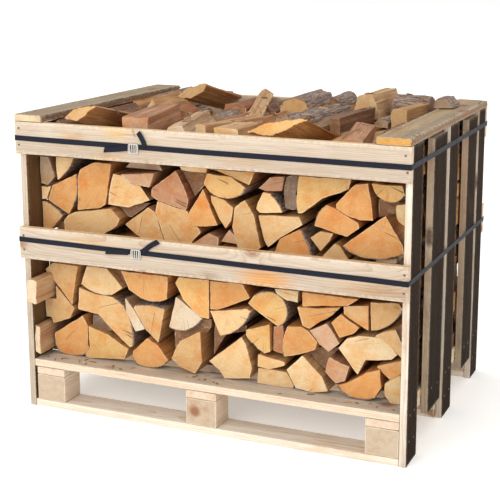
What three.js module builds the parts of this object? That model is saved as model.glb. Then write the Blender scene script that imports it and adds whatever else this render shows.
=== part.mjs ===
// Firewood crate: a wooden pallet with boarded sides, slats front and back and flat caps,
// filled with split logs in two ranks and bound by two straps.
// Millimetres. +Z up, front at -Y. The origin is the centre of the middle skid's underside.
import * as THREE from "three";

// ---- Driving dimensions -------------------------------------------------------------------
const GAP = 0.3; // clearance left between pieces that touch
const BOARD = 22; // thickness of every sawn board
const PALLET_LENGTH = 1200;
const PALLET_DEPTH = 862;
const WIDTH = PALLET_LENGTH + 2 * BOARD; // over the side boards
const SIDE_TOP = 916; // the side boards' upper ends, and the top slats' upper edge

const SKID_HEIGHT = 24;
const BLOCK = { width: 100, depth: 90, height: 84 };
const BLOCK_INSET = 8; // the left blocks stand in from the pallet's end by this much
const MIDDLE_BLOCK_X = -16; // the middle blocks sit a little left of the centre
const STRINGER_HEIGHT = 25;
const DECK_HEIGHT = 24;
const DECK_TOP = SKID_HEIGHT + BLOCK.height + STRINGER_HEIGHT + DECK_HEIGHT;
const DECK_BOARD_DEPTHS = [100, 140, 140, 140, 100];

const SLAT_HEIGHT = 100;
const MIDDLE_SLAT_BOTTOM = 489;
const CAP_WIDTHS = { left: 96, right: 99 };
const INFILL_BOTTOM = 80;
const INFILL_TOP = 905;
// Each side is five upright boards: posts reach the floor, infill boards stop above it.
const SIDE_BOARDS = [
  { name: "front_post", from: 0, to: 105, post: true },
  { name: "front_infill", from: 218, to: 362, post: false },
  { name: "middle_post", from: 392, to: 500, post: true },
  { name: "rear_infill", from: 628, to: 752, post: false },
  { name: "rear_post", from: 770, to: PALLET_DEPTH, post: true },
];

const STRAP = { width: 16, thickness: 0.8, slack: 0.5, corner: 1.4 };
const STRAP_HEIGHTS = { upper: 866, lower: 543 };
const BUCKLE = { width: 34, height: 30, thickness: 3.5, x: -212, radius: 4 };
const BUCKLE_DROPS = { upper: 8, lower: 1 }; // how far each hangs below its strap's middle

const RANK_INSET = 62; // the log ends stand this far behind the posts' front edge
const RANK_LENGTH = 380;
const RANK_SPACE = 6; // between the front and the rear rank
const STACK_HALF_WIDTH = PALLET_LENGTH / 2 - 4;
const STACK_TOP = 863;

const WALL_SEGMENTS = 4; // straight steps in each curved bark face

// ---- Finishes -----------------------------------------------------------------------------
function finish(color, roughness, metalness = 0) {
  return new THREE.MeshStandardMaterial({ color, roughness, metalness });
}
const PALE_PINE = finish(0xe6cf9f, 0.75);
const GREY_PINE = finish(0xa89878, 0.85);
const SHADED_PINE = finish(0xb99a72, 0.85);
const SPLIT_WOOD = finish(0xd2a062, 0.8);
const BARK_WOOD = finish(0x8a7566, 0.9);
const STRAP_PLASTIC = finish(0x2d2f3c, 0.45);
const ZINC_WIRE = finish(0xb9bcbf, 0.35, 0.9);

// ---- Helpers ------------------------------------------------------------------------------
const crate = new THREE.Group();

function addMesh(name, geometry, material) {
  const mesh = new THREE.Mesh(geometry, material);
  mesh.name = name;
  crate.add(mesh);
  return mesh;
}

// A board between two corners, given as [low x, low y, low z] and [high x, high y, high z].
function addBoard(name, low, high, material) {
  const size = high.map((value, axis) => value - low[axis]);
  const mesh = addMesh(name, new THREE.BoxGeometry(...size), material);
  mesh.position.set(...high.map((value, axis) => (value + low[axis]) / 2));
}

// An outline in X and Z, run along +Y from y = 0.
function extrudeAlongY(points, length) {
  const outline = new THREE.Shape(points.map(([x, z]) => new THREE.Vector2(x, z)));
  const geometry = new THREE.ExtrudeGeometry(outline, { depth: length, bevelEnabled: false });
  return geometry.translate(0, 0, -length).rotateX(Math.PI / 2);
}

// Turns a depth counted from the pallet's front edge into the row's Y.
const depthToY = (depth) => depth - PALLET_DEPTH / 2;

// ---- Pallet -------------------------------------------------------------------------------
function buildPallet() {
  const end = PALLET_LENGTH / 2 - GAP;
  const rowDepths = [0, (PALLET_DEPTH - BLOCK.depth) / 2, PALLET_DEPTH - BLOCK.depth];
  const rowNames = ["front", "middle", "rear"];
  const columns = [
    { name: "left", x: -PALLET_LENGTH / 2 + BLOCK_INSET },
    { name: "middle", x: MIDDLE_BLOCK_X - BLOCK.width / 2 },
    { name: "right", x: end - BLOCK.width },
  ];
  const blockTop = SKID_HEIGHT + BLOCK.height;
  const stringerTop = blockTop + STRINGER_HEIGHT;
  rowDepths.forEach((depth, row) => {
    const y = depthToY(depth);
    const far = y + BLOCK.depth;
    addBoard(`skid_${rowNames[row]}`, [-end, y, 0], [end, far, SKID_HEIGHT - GAP], PALE_PINE);
    columns.forEach(({ name, x }) => {
      const low = [x, y, SKID_HEIGHT];
      const high = [x + BLOCK.width, far, blockTop - GAP];
      addBoard(`block_${rowNames[row]}_${name}`, low, high, PALE_PINE);
    });
  });
  columns.forEach(({ name, x }) => {
    const low = [x, depthToY(0), blockTop];
    const high = [x + BLOCK.width, depthToY(PALLET_DEPTH), stringerTop - GAP];
    addBoard(`stringer_${name}`, low, high, PALE_PINE);
  });
  const boardsDepth = DECK_BOARD_DEPTHS.reduce((sum, depth) => sum + depth, 0);
  const space = (PALLET_DEPTH - boardsDepth) / (DECK_BOARD_DEPTHS.length - 1);
  let depth = 0;
  DECK_BOARD_DEPTHS.forEach((boardDepth, i) => {
    const low = [-end, depthToY(depth), stringerTop];
    const high = [end, depthToY(depth + boardDepth), DECK_TOP];
    addBoard(`deck_board_${i + 1}`, low, high, PALE_PINE);
    depth += boardDepth + space;
  });
}

// ---- Sides, caps and slats ----------------------------------------------------------------
function buildSides() {
  const inner = PALLET_LENGTH / 2;
  const outer = WIDTH / 2;
  const spans = { left: [-outer, -inner], right: [inner, outer] };
  for (const [side, [lowX, highX]] of Object.entries(spans)) {
    for (const { name, from, to, post } of SIDE_BOARDS) {
      const low = [lowX, depthToY(from), post ? 0 : INFILL_BOTTOM];
      const high = [highX, depthToY(to), post ? SIDE_TOP : INFILL_TOP];
      addBoard(`${side}_${name}`, low, high, SHADED_PINE);
    }
  }
}

function buildCaps() {
  const bottom = SIDE_TOP + GAP;
  const front = depthToY(-BOARD - GAP);
  const rear = depthToY(PALLET_DEPTH + BOARD + GAP);
  const edge = WIDTH / 2;
  const spans = { left: [-edge, CAP_WIDTHS.left - edge], right: [edge - CAP_WIDTHS.right, edge] };
  for (const [side, [lowX, highX]] of Object.entries(spans))
    addBoard(`${side}_cap`, [lowX, front, bottom], [highX, rear, bottom + BOARD], GREY_PINE);
}

function buildSlats() {
  const bottoms = { top: SIDE_TOP - SLAT_HEIGHT, middle: MIDDLE_SLAT_BOTTOM };
  const depths = { front: -BOARD - GAP, rear: PALLET_DEPTH + GAP };
  for (const [face, depth] of Object.entries(depths))
    for (const [level, bottom] of Object.entries(bottoms)) {
      const low = [-WIDTH / 2, depthToY(depth), bottom];
      const high = [WIDTH / 2, depthToY(depth + BOARD), bottom + SLAT_HEIGHT];
      addBoard(`${face}_${level}_slat`, low, high, PALE_PINE);
    }
}

// ---- Straps and buckles -------------------------------------------------------------------
// A rectangle with round corners, centred on the origin, as a Shape or as a hole's Path.
function roundedRectangle(Kind, halfX, halfY, radius) {
  const path = new Kind();
  const [x, y] = [halfX - radius, halfY - radius];
  path.moveTo(-x, -halfY);
  path.lineTo(x, -halfY);
  path.absarc(x, -y, radius, -Math.PI / 2, 0, false);
  path.absarc(x, y, radius, 0, Math.PI / 2, false);
  path.absarc(-x, y, radius, Math.PI / 2, Math.PI, false);
  path.absarc(-x, -y, radius, Math.PI, 1.5 * Math.PI, false);
  return path;
}

function buildStraps() {
  const halfX = WIDTH / 2 + STRAP.slack;
  const halfY = PALLET_DEPTH / 2 + BOARD + GAP + STRAP.slack;
  const band = roundedRectangle(
    THREE.Shape, halfX + STRAP.thickness, halfY + STRAP.thickness, STRAP.corner);
  const inner = STRAP.corner - STRAP.thickness;
  band.holes.push(roundedRectangle(THREE.Path, halfX, halfY, inner));
  const settings = { depth: STRAP.width, bevelEnabled: false, curveSegments: 3 };
  for (const [level, height] of Object.entries(STRAP_HEIGHTS)) {
    const strap = addMesh(
      `${level}_strap`, new THREE.ExtrudeGeometry(band, settings), STRAP_PLASTIC);
    strap.position.z = height - STRAP.width / 2;
    const plate = roundedRectangle(
      THREE.Shape, BUCKLE.width / 2, BUCKLE.height / 2, BUCKLE.radius);
    const body = new THREE.ExtrudeGeometry(
      plate, { depth: BUCKLE.thickness, bevelEnabled: false, curveSegments: 3 });
    const buckle = addMesh(`${level}_buckle`, body.rotateX(Math.PI / 2), ZINC_WIRE);
    const z = height - BUCKLE_DROPS[level];
    buckle.position.set(BUCKLE.x, -halfY - STRAP.thickness - GAP, z);
  }
}

// ---- Stacked logs -------------------------------------------------------------------------
// Both ranks are closed solids of the stack's outer shape, as tall as the bedded logs.
// Pockets in the outline take the loose logs that dip into the stack.
function buildRanks() {
  const floor = DECK_TOP + GAP;
  const side = STACK_HALF_WIDTH;
  const frontOutline = [
    [-side, floor], [side, floor], [side, 885], [484, 885], [484, STACK_TOP],
    [324, STACK_TOP], [324, 828], [112, 828], [112, STACK_TOP], [-346, STACK_TOP],
    [-346, 836], [-484, 836], [-484, 885], [-side, 885], [-side, 430], [-555, 430],
    [-555, 342], [-side, 342], [-side, 276], [-572, 276], [-572, 172], [-side, 172],
  ];
  const rearOutline = [
    [-side, floor], [side, floor], [side, 905], [500, 905], [500, 880], [-22, 880],
    [-22, 925], [-226, 925], [-226, 858], [-350, 858], [-350, 880], [-512, 880],
    [-512, 905], [-side, 905],
  ];
  const ranks = { front: frontOutline, rear: rearOutline };
  Object.entries(ranks).forEach(([name, outline], i) => {
    const rank = addMesh(`${name}_log_rank`, extrudeAlongY(outline, RANK_LENGTH), SPLIT_WOOD);
    rank.position.y = depthToY(RANK_INSET + i * (RANK_LENGTH + RANK_SPACE));
  });
}

// Sections of single logs, in X and Z. The point (0, 0) is the middle of the underside.
const block = (width, height) => [
  [-width / 2, 0], [width / 2, 0], [width / 2, height], [-width / 2, height],
];
const wedge = (width, height) => [
  [-width / 2, 0], [width / 2, 0.1 * height], [0.2 * width, height], [-0.3 * width, 0.9 * height],
];
// A thin split piece that leans: low on the left, high on the right.
const blade = (width, height) => [
  [-0.5 * width, 0.1 * height], [-0.05 * width, 0], [0.5 * width, 0.87 * height],
  [0.42 * width, height], [-0.2 * width, 0.64 * height],
];
// A split piece with its round bark face on top.
function barked(width, height) {
  const points = [[-width / 2, 0], [width / 2, 0]];
  for (let i = 0; i <= WALL_SEGMENTS; i++) {
    const angle = (Math.PI * i) / WALL_SEGMENTS;
    const z = height * (0.45 + 0.55 * Math.sin(angle));
    points.push([(width / 2) * Math.cos(angle), z]);
  }
  return points;
}

// at: the middle of the near end's underside; turn and dip in degrees, for the far end
// swinging left and sinking. Logs marked bark lie with their bark up.
const LOOSE_LOGS = [
  { section: blade(118, 56), at: [-413, -426, 922], turn: 0, dip: 14, length: 300 },
  { section: block(84, 80), at: [-232, -405, 866], turn: 10, dip: 0, length: 330 },
  { section: wedge(96, 60), at: [-105, -391, 866], turn: 12, dip: 0, length: 330 },
  { section: block(48, 46), at: [-44, -356, 880], turn: -19, dip: 0, length: 250 },
  { section: block(86, 62), at: [66, -417, 868], turn: 0, dip: 0, length: 150 },
  { section: blade(194, 62), at: [219, -421, 913], turn: 0, dip: 17, length: 260 },
  { section: block(66, 56), at: [444, -411, 866], turn: 12, dip: 0, length: 310 },
  { bark: true, section: barked(90, 62), at: [128, -131, 884], turn: -9, dip: 0, length: 370 },
  { section: block(42, 54), at: [292, -131, 884], turn: -4, dip: 0, length: 270 },
  { section: wedge(104, 96), at: [293, 169, 883], turn: 0, dip: 0, length: 240 },
  { section: blade(108, 60), at: [-287, 74, 938], turn: 0, dip: 14, length: 290 },
  { bark: true, section: barked(108, 84), at: [38, 174, 884], turn: 0, dip: 0, length: 250 },
  { bark: true, section: barked(104, 100), at: [355, 275, 885], turn: -90, dip: 0, length: 128 },
  { section: block(60, 64), at: [438, 40, 885], turn: -8, dip: 0, length: 168 },
  { bark: true, section: wedge(70, 41), at: [541, 170, 938.6], turn: 0, dip: 0, length: 90 },
  { bark: true, section: barked(108, 72), at: [-437, 169, 884], turn: 4, dip: 0, length: 240 },
];

function placeLog(name, { section, at, turn, dip, length, bark = false }) {
  const log = addMesh(name, extrudeAlongY(section, length), bark ? BARK_WOOD : SPLIT_WOOD);
  log.rotation.order = "ZXY";
  log.rotation.z = THREE.MathUtils.degToRad(turn);
  log.rotation.x = THREE.MathUtils.degToRad(-dip);
  log.position.set(...at);
}

function buildLooseLogs() {
  LOOSE_LOGS.forEach((log, i) => placeLog(`top_log_${String(i + 1).padStart(2, "0")}`, log));
  // Two pieces that slid forward along the left posts.
  placeLog("proud_log", {
    section: block(39, 80), at: [-579.5, depthToY(-30), 347], turn: 0, dip: 0, length: 360,
  });
  placeLog("proud_stick", {
    section: block(21, 98), at: [-587, depthToY(3), 174], turn: 0, dip: 0, length: 300,
  });
}

buildPallet();
buildSides();
buildCaps();
buildSlats();
buildStraps();
buildRanks();
buildLooseLogs();

export default crate;
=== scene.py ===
"""Looks of the firewood crate: sawn boards, split logs, straps, wire buckles, nails and scraps.

Metres, +Z up, front towards -Y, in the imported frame. Every board and log is one swept form whose
vertices carry three attributes for the finishes: "grain" (across, across and along the fibres,
counted from the pith), "tint" (its own colour) and "arris" (1 on the sharp edges).
"""

import logging
import math
import random
from dataclasses import dataclass, field
from enum import Enum
from typing import Iterable, Sequence, Union

import bmesh
import bpy
import numpy as np
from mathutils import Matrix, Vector, noise


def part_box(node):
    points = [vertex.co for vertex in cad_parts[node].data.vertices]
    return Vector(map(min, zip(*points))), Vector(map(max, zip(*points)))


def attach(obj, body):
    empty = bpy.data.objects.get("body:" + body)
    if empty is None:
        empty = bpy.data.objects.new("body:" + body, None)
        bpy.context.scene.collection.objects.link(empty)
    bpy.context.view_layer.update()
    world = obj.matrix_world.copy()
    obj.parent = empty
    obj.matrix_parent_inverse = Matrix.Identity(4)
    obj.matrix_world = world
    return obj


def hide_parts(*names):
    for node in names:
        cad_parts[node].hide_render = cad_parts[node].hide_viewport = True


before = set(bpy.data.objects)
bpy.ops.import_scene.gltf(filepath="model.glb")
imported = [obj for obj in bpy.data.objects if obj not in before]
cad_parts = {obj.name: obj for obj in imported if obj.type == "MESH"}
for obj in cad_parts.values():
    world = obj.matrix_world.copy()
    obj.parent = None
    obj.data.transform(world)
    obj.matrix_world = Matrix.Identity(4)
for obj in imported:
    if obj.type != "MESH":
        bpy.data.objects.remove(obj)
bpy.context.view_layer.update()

Colour = tuple[float, float, float]
Corner = tuple[float, float]
Value = Union[float, Sequence[float], bpy.types.NodeSocket]

MM = 0.001
reporter = logging.getLogger("firewood_crate")


def hex_colour(code: str) -> Colour:
    """Turns a six-digit sRGB code into linear red, green and blue."""
    parts = [int(code[i:i + 2], 16) / 255 for i in (0, 2, 4)]
    return tuple(c / 12.92 if c <= 0.04045 else ((c + 0.055) / 1.055) ** 2.4 for c in parts)


def wobble(*place: float) -> float:
    """Smooth noise from -1 to 1 at a place given by three numbers."""
    return noise.noise(Vector(place))


class Tone(Enum):
    """Colours of the wood, as sRGB codes."""

    CREAM = "e2c798"
    PALE = "e6cfa6"
    WHITISH = "e5d5bb"
    YELLOW = "dfb878"
    TAN = "d6b27e"
    ORANGE = "d9a566"
    PINK = "caa78a"
    REDDISH = "b98a68"
    GREY = "b3a08a"
    # BROWN: brown wood; on the logs set back in the gaps and on two left front bed logs it is painted shade.
    BROWN = "8e6c50"
    BARK = "7c6a5e"
    SAWN = "e9d8c5"
    SAWN_WARM = "e2c49c"
    SAWN_GREY = "cbbca8"
    WEATHERED = "a3937c"
    # Side-board faces as painted shade: deep brown for the side in shade, a lighter brown for the left side,
    # which catches more light.
    DEEP_PAINTED_SHADE = "2e2013"
    LEFT_PAINTED_SHADE = "6f563c"
    CUT_ORANGE = "dba95c"
    CUT_PALE = "e6d3b0"
    POST_EDGE = "f8f0e4"
    SLAT = "cfc3b4"
    DUSTY = "cfc8bc"
    SAP = "e6a75a"
    # Painted light: a near-white tone that lifts the skids, which lie in the pallet's shade.
    SKID_PAINTED_LIGHT = "f3ebe0"

    @property
    def linear(self) -> Colour:
        """The colour in linear light."""
        return hex_colour(self.value)


# ---- Shader building ---------------------------------------------------------------------------
class Recipe:
    """Adds nodes to one tree and links them, so that each finish reads as a short recipe."""

    def __init__(self, tree: bpy.types.NodeTree) -> None:
        """Keeps the tree that the nodes go to."""
        self.tree = tree

    def add(self, kind: str, inputs: dict[Union[str, int], Value] | None = None,
            **settings: object) -> bpy.types.Node:
        """Adds one node.

        Args:
            kind: the node's type name.
            inputs: a socket to link, or a value to set, for each named or numbered input.
            settings: the node's own properties.

        Returns:
            The new node.
        """
        node = self.tree.nodes.new(kind)
        for key, value in settings.items():
            setattr(node, key, value)
        for key, value in (inputs or {}).items():
            if isinstance(value, bpy.types.NodeSocket):
                self.tree.links.new(value, node.inputs[key])
            else:
                node.inputs[key].default_value = value
        return node

    def math(self, operation: str, a: Value, b: Value = 0.0, clamp: bool = False) -> bpy.types.NodeSocket:
        """A sum on two values."""
        node = self.add("ShaderNodeMath", {0: a, 1: b}, operation=operation, use_clamp=clamp)
        return node.outputs[0]

    def scaled(self, vector: Value, by: Sequence[float]) -> bpy.types.NodeSocket:
        """A vector times another, axis by axis."""
        return self.add("ShaderNodeVectorMath", {0: vector, 1: by}, operation="MULTIPLY").outputs[0]

    def ranged(self, value: Value, low: float, high: float, to_low: float = 0.0,
               to_high: float = 1.0) -> bpy.types.NodeSocket:
        """A value mapped smoothly from one range to another and held inside it."""
        inputs = {"Value": value, "From Min": low, "From Max": high, "To Min": to_low, "To Max": to_high}
        return self.add("ShaderNodeMapRange", inputs, interpolation_type="SMOOTHSTEP").outputs[0]

    def blended(self, share: Value, a: Value, b: Value, kind: str = "MIX") -> bpy.types.NodeSocket:
        """A mix of two colours."""
        inputs = {0: share}
        for slot, value in ((6, a), (7, b)):
            inputs[slot] = value if isinstance(value, bpy.types.NodeSocket) else (*value, 1.0)
        node = self.add("ShaderNodeMix", inputs, data_type="RGBA", blend_type=kind)
        return node.outputs[2]

    def cloud(self, vector: Value, scale: float, detail: float = 3.0,
              rough: float = 0.55) -> bpy.types.NodeSocket:
        """Soft noise."""
        inputs = {"Vector": vector, "Scale": scale, "Detail": detail, "Roughness": rough}
        return self.add("ShaderNodeTexNoise", inputs).outputs[0]

    def attribute(self, name: str, output: str) -> bpy.types.NodeSocket:
        """What the mesh carries under that name."""
        return self.add("ShaderNodeAttribute", attribute_name=name).outputs[output]

    def bump(self, height: Value, distance: float, strength: float = 1.0) -> bpy.types.NodeSocket:
        """A normal raised by a height."""
        inputs = {"Height": height, "Distance": distance, "Strength": strength}
        return self.add("ShaderNodeBump", inputs).outputs[0]


class Effect:
    """A shader effect that several finishes share, built once as a node group."""

    made: dict[str, bpy.types.NodeTree] = {}

    def __init__(self, name: str, inputs: dict[str, tuple[str, object]], outputs: dict[str, str]) -> None:
        """Makes the empty group.

        Args:
            name: the group's name.
            inputs: kind of socket and default for each input.
            outputs: kind of socket for each output.
        """
        self.tree = bpy.data.node_groups.new(name, "ShaderNodeTree")
        for label, (kind, default) in inputs.items():
            socket = self.tree.interface.new_socket(label, in_out="INPUT", socket_type="NodeSocket" + kind)
            if default is not None:
                socket.default_value = default
        for label, kind in outputs.items():
            self.tree.interface.new_socket(label, in_out="OUTPUT", socket_type="NodeSocket" + kind)
        self.recipe = Recipe(self.tree)
        self.given = self.recipe.add("NodeGroupInput").outputs
        self.result = self.recipe.add("NodeGroupOutput").inputs

    def give(self, label: str, socket: bpy.types.NodeSocket) -> None:
        """Links what the group puts out under a label."""
        self.tree.links.new(socket, self.result[label])

    @classmethod
    def use(cls, recipe: Recipe, name: str, inputs: dict[str, Value]) -> bpy.types.bpy_prop_collection:
        """Places a group in a material.

        Args:
            recipe: the material's recipe.
            name: one of the effects below.
            inputs: values and sockets for the group's inputs.

        Returns:
            The placed group's outputs.
        """
        if name not in cls.made:
            cls.made[name] = EFFECTS[name]()
        node = recipe.add("ShaderNodeGroup", node_tree=cls.made[name])
        for key, value in inputs.items():
            if isinstance(value, bpy.types.NodeSocket):
                recipe.tree.links.new(value, node.inputs[key])
            else:
                node.inputs[key].default_value = value
        return node.outputs


def growth_rings() -> bpy.types.NodeTree:
    """Year rings round the pith: slow to darken, quick to end, of uneven width."""
    effect = Effect("growth_rings", {"Grain": ("Vector", None), "Spacing": ("Float", 0.004),
                                     "Wander": ("Float", 0.006), "Swirl": ("Float", 0.0)},
                    {"Ring": "Float", "Ray": "Float"})
    r = effect.recipe
    across = r.scaled(effect.given["Grain"], (1, 1, 0))
    radius = r.add("ShaderNodeVectorMath", {0: across}, operation="LENGTH").outputs["Value"]
    drift = r.math("SUBTRACT", r.cloud(r.scaled(effect.given["Grain"], (9, 9, 1.2)), 1.0, 2.0), 0.5)
    placed = r.math("ADD", radius, r.math("MULTIPLY", drift, effect.given["Wander"]))
    placed = r.math("ADD", placed, effect.given["Swirl"])
    uneven = r.math("MULTIPLY",
                    r.cloud(r.add("ShaderNodeCombineXYZ", {0: placed}).outputs[0], 38.0, 1.0), 2.6)
    phase = r.math("ADD", r.math("DIVIDE", placed, effect.given["Spacing"]), uneven)
    late = r.math("POWER", r.math("FRACT", phase), 2.5)
    effect.give("Ring", late)
    direction = r.add("ShaderNodeVectorMath", {0: across}, operation="NORMALIZE").outputs[0]
    effect.give("Ray", r.cloud(direction, 26.0, 3.0, 0.7))
    return effect.tree


def fibres() -> bpy.types.NodeTree:
    """Streaks that run with the grain."""
    effect = Effect("fibres", {"Grain": ("Vector", None), "Fineness": ("Float", 300.0)},
                    {"Streak": "Float", "Band": "Float"})
    r = effect.recipe
    fine = r.scaled(effect.given["Grain"], (1, 1, 0.035))
    streak = r.add("ShaderNodeTexNoise", {"Vector": fine, "Scale": effect.given["Fineness"], "Detail": 4.0,
                                          "Roughness": 0.65}).outputs[0]
    effect.give("Streak", streak)
    effect.give("Band", r.cloud(r.scaled(effect.given["Grain"], (55, 55, 3.2)), 1.0, 3.0, 0.6))
    return effect.tree


def knots() -> bpy.types.NodeTree:
    """Round knots set far apart, and how they push the rings aside."""
    effect = Effect("knots", {"Grain": ("Vector", None), "Size": ("Float", 0.1)},
                    {"Mask": "Float", "Swirl": "Float"})
    r = effect.recipe
    cell = r.add("ShaderNodeTexVoronoi", {"Vector": r.scaled(effect.given["Grain"], (7.5, 7.5, 4.6)),
                                          "Scale": 1.0, "Randomness": 0.9})
    distance = cell.outputs["Distance"]
    inner = r.math("MULTIPLY", effect.given["Size"], 0.45)
    mask = r.add("ShaderNodeMapRange", {"Value": distance, "From Min": effect.given["Size"],
                                        "From Max": inner}).outputs[0]
    effect.give("Mask", mask)
    near = r.math("MULTIPLY", distance, -7.0)
    effect.give("Swirl", r.math("MULTIPLY", r.math("EXPONENT", near), 0.03))
    return effect.tree


def patina() -> bpy.types.NodeTree:
    """Uneven patches of stain or dust."""
    effect = Effect("patina", {"Grain": ("Vector", None), "Size": ("Float", 12.0), "Least": ("Float", 0.5),
                               "Most": ("Float", 0.7)}, {"Patch": "Float"})
    r = effect.recipe
    place = r.scaled(effect.given["Grain"], (1, 1, 0.35))
    body = r.add("ShaderNodeTexNoise", {"Vector": place, "Scale": effect.given["Size"], "Detail": 5.0,
                                        "Roughness": 0.62}).outputs[0]
    shown = r.add("ShaderNodeMapRange", {"Value": body, "From Min": effect.given["Least"],
                                         "From Max": effect.given["Most"]}).outputs[0]
    effect.give("Patch", shown)
    return effect.tree


def bark_plates() -> bpy.types.NodeTree:
    """Long plates of bark with dark cracks between them."""
    effect = Effect("bark_plates", {"Grain": ("Vector", None), "Scale": ("Float", 90.0)},
                    {"Plate": "Float", "Crack": "Float"})
    r = effect.recipe
    place = r.scaled(effect.given["Grain"], (1, 1, 0.14))
    bent = r.add("ShaderNodeTexNoise", {"Vector": place, "Scale": 60.0, "Detail": 2.0}).outputs["Color"]
    moved = r.add("ShaderNodeVectorMath", {0: r.scaled(bent, (0.012, 0.012, 0.012)), 1: place},
                  operation="ADD").outputs[0]
    edge = r.add("ShaderNodeTexVoronoi", {"Vector": moved, "Scale": effect.given["Scale"]},
                 feature="DISTANCE_TO_EDGE").outputs["Distance"]
    effect.give("Crack", r.ranged(edge, 0.0, 0.13, 1.0, 0.0))
    effect.give("Plate", r.cloud(moved, 150.0, 4.0, 0.7))
    return effect.tree


def worn_arris() -> bpy.types.NodeTree:
    """The frayed, paler line along a sharp edge."""
    effect = Effect("worn_arris", {"Grain": ("Vector", None), "Arris": ("Float", 0.0)}, {"Wear": "Float"})
    r = effect.recipe
    broken = r.cloud(effect.given["Grain"], 85.0, 3.0, 0.7)
    effect.give("Wear", r.math("MULTIPLY", effect.given["Arris"], r.ranged(broken, 0.38, 0.62), clamp=True))
    return effect.tree


EFFECTS = {function.__name__: function for function in
           (growth_rings, fibres, knots, patina, bark_plates, worn_arris)}


class Finish:
    """What every finish shares: its material, its recipe and the shader at the end."""

    name: str

    def start(self) -> tuple[bpy.types.Material, Recipe, bpy.types.Node]:
        """Makes the material.

        Returns:
            The material, its recipe and its Principled shader.
        """
        material = bpy.data.materials.new(self.name)
        material.use_nodes = True
        recipe = Recipe(material.node_tree)
        return material, recipe, material.node_tree.nodes["Principled BSDF"]


def connect(recipe: Recipe, shader: bpy.types.Node, **sockets: bpy.types.NodeSocket) -> None:
    """Links colours, values and normals to the shader's inputs, named with underscores."""
    for name, socket in sockets.items():
        recipe.tree.links.new(socket, shader.inputs[name.replace("_", " ")])


@dataclass(frozen=True)
class SawnWood(Finish):
    """Rough-sawn softwood."""

    name: str
    ring_share: float = 0.55
    knot_size: float = 0.17
    knot: str = "8a552c"
    stain_least: float = 0.56
    stain: str = "d7a763"
    dirt_and_shade_least: float = 0.6
    dirt_and_shade: str = "8c7c69"
    wear: float = 0.35
    gloss: float = 0.3
    grain_depth: float = 0.0008

    def build(self) -> bpy.types.Material:
        """Makes the material."""
        material, r, shader = self.start()
        grain = r.attribute("grain", "Vector")
        tint = r.attribute("tint", "Color")
        knot = Effect.use(r, "knots", {"Grain": grain, "Size": self.knot_size})
        rings = Effect.use(r, "growth_rings", {"Grain": grain, "Spacing": 0.0048, "Wander": 0.016,
                                               "Swirl": knot["Swirl"]})
        streaks = Effect.use(r, "fibres", {"Grain": grain, "Fineness": 420.0})
        stain = Effect.use(r, "patina", {"Grain": grain, "Size": 9.0, "Least": self.stain_least,
                                         "Most": 0.78})
        dirt_and_shade = Effect.use(r, "patina", {"Grain": r.scaled(grain, (1.3, 1.3, 1.3)), "Size": 23.0,
                                        "Least": self.dirt_and_shade_least, "Most": 0.86})
        wear = Effect.use(r, "worn_arris", {"Grain": grain, "Arris": r.attribute("arris", "Fac")})
        shade = r.blended(r.math("MULTIPLY", rings["Ring"], self.ring_share), tint,
                          r.blended(1.0, tint, hex_colour("d9c0a6"), "MULTIPLY"))
        shade = r.blended(r.ranged(streaks["Band"], 0.35, 0.75, 0.0, 0.45), shade,
                          r.blended(1.0, shade, hex_colour("dfd0bf"), "MULTIPLY"))
        shade = r.blended(r.math("MULTIPLY", stain["Patch"], 0.55), shade,
                          r.blended(1.0, shade, hex_colour(self.stain), "MULTIPLY"))
        # Dirt patches: real dirt, and painted shade where a darker copy gives them a near-black colour.
        shade = r.blended(r.math("MULTIPLY", dirt_and_shade["Patch"], 0.5), shade, hex_colour(self.dirt_and_shade))
        shade = r.blended(r.ranged(streaks["Streak"], 0.3, 0.7, 0.0, 0.3), shade,
                          r.blended(1.0, shade, hex_colour("c9b394"), "MULTIPLY"))
        shade = r.blended(r.math("MULTIPLY", knot["Mask"], 0.8), shade, hex_colour(self.knot))
        shade = r.blended(r.math("MULTIPLY", wear["Wear"], self.wear), shade, hex_colour("f2e4ca"))
        saw = r.cloud(r.scaled(grain, (30, 30, 620)), 1.0, 1.0)
        height = r.math("ADD", r.math("MULTIPLY", streaks["Streak"], 0.8), r.math("MULTIPLY", saw, 0.35))
        height = r.math("ADD", height, r.math("MULTIPLY", rings["Ring"], 0.25))
        height = r.math("SUBTRACT", height, r.math("MULTIPLY", knot["Mask"], 0.3))
        shader.inputs["Specular IOR Level"].default_value = self.gloss
        connect(r, shader, Base_Color=shade, Roughness=r.ranged(streaks["Streak"], 0.3, 0.7, 0.66, 0.88),
                Normal=r.bump(height, self.grain_depth))
        return material


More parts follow.
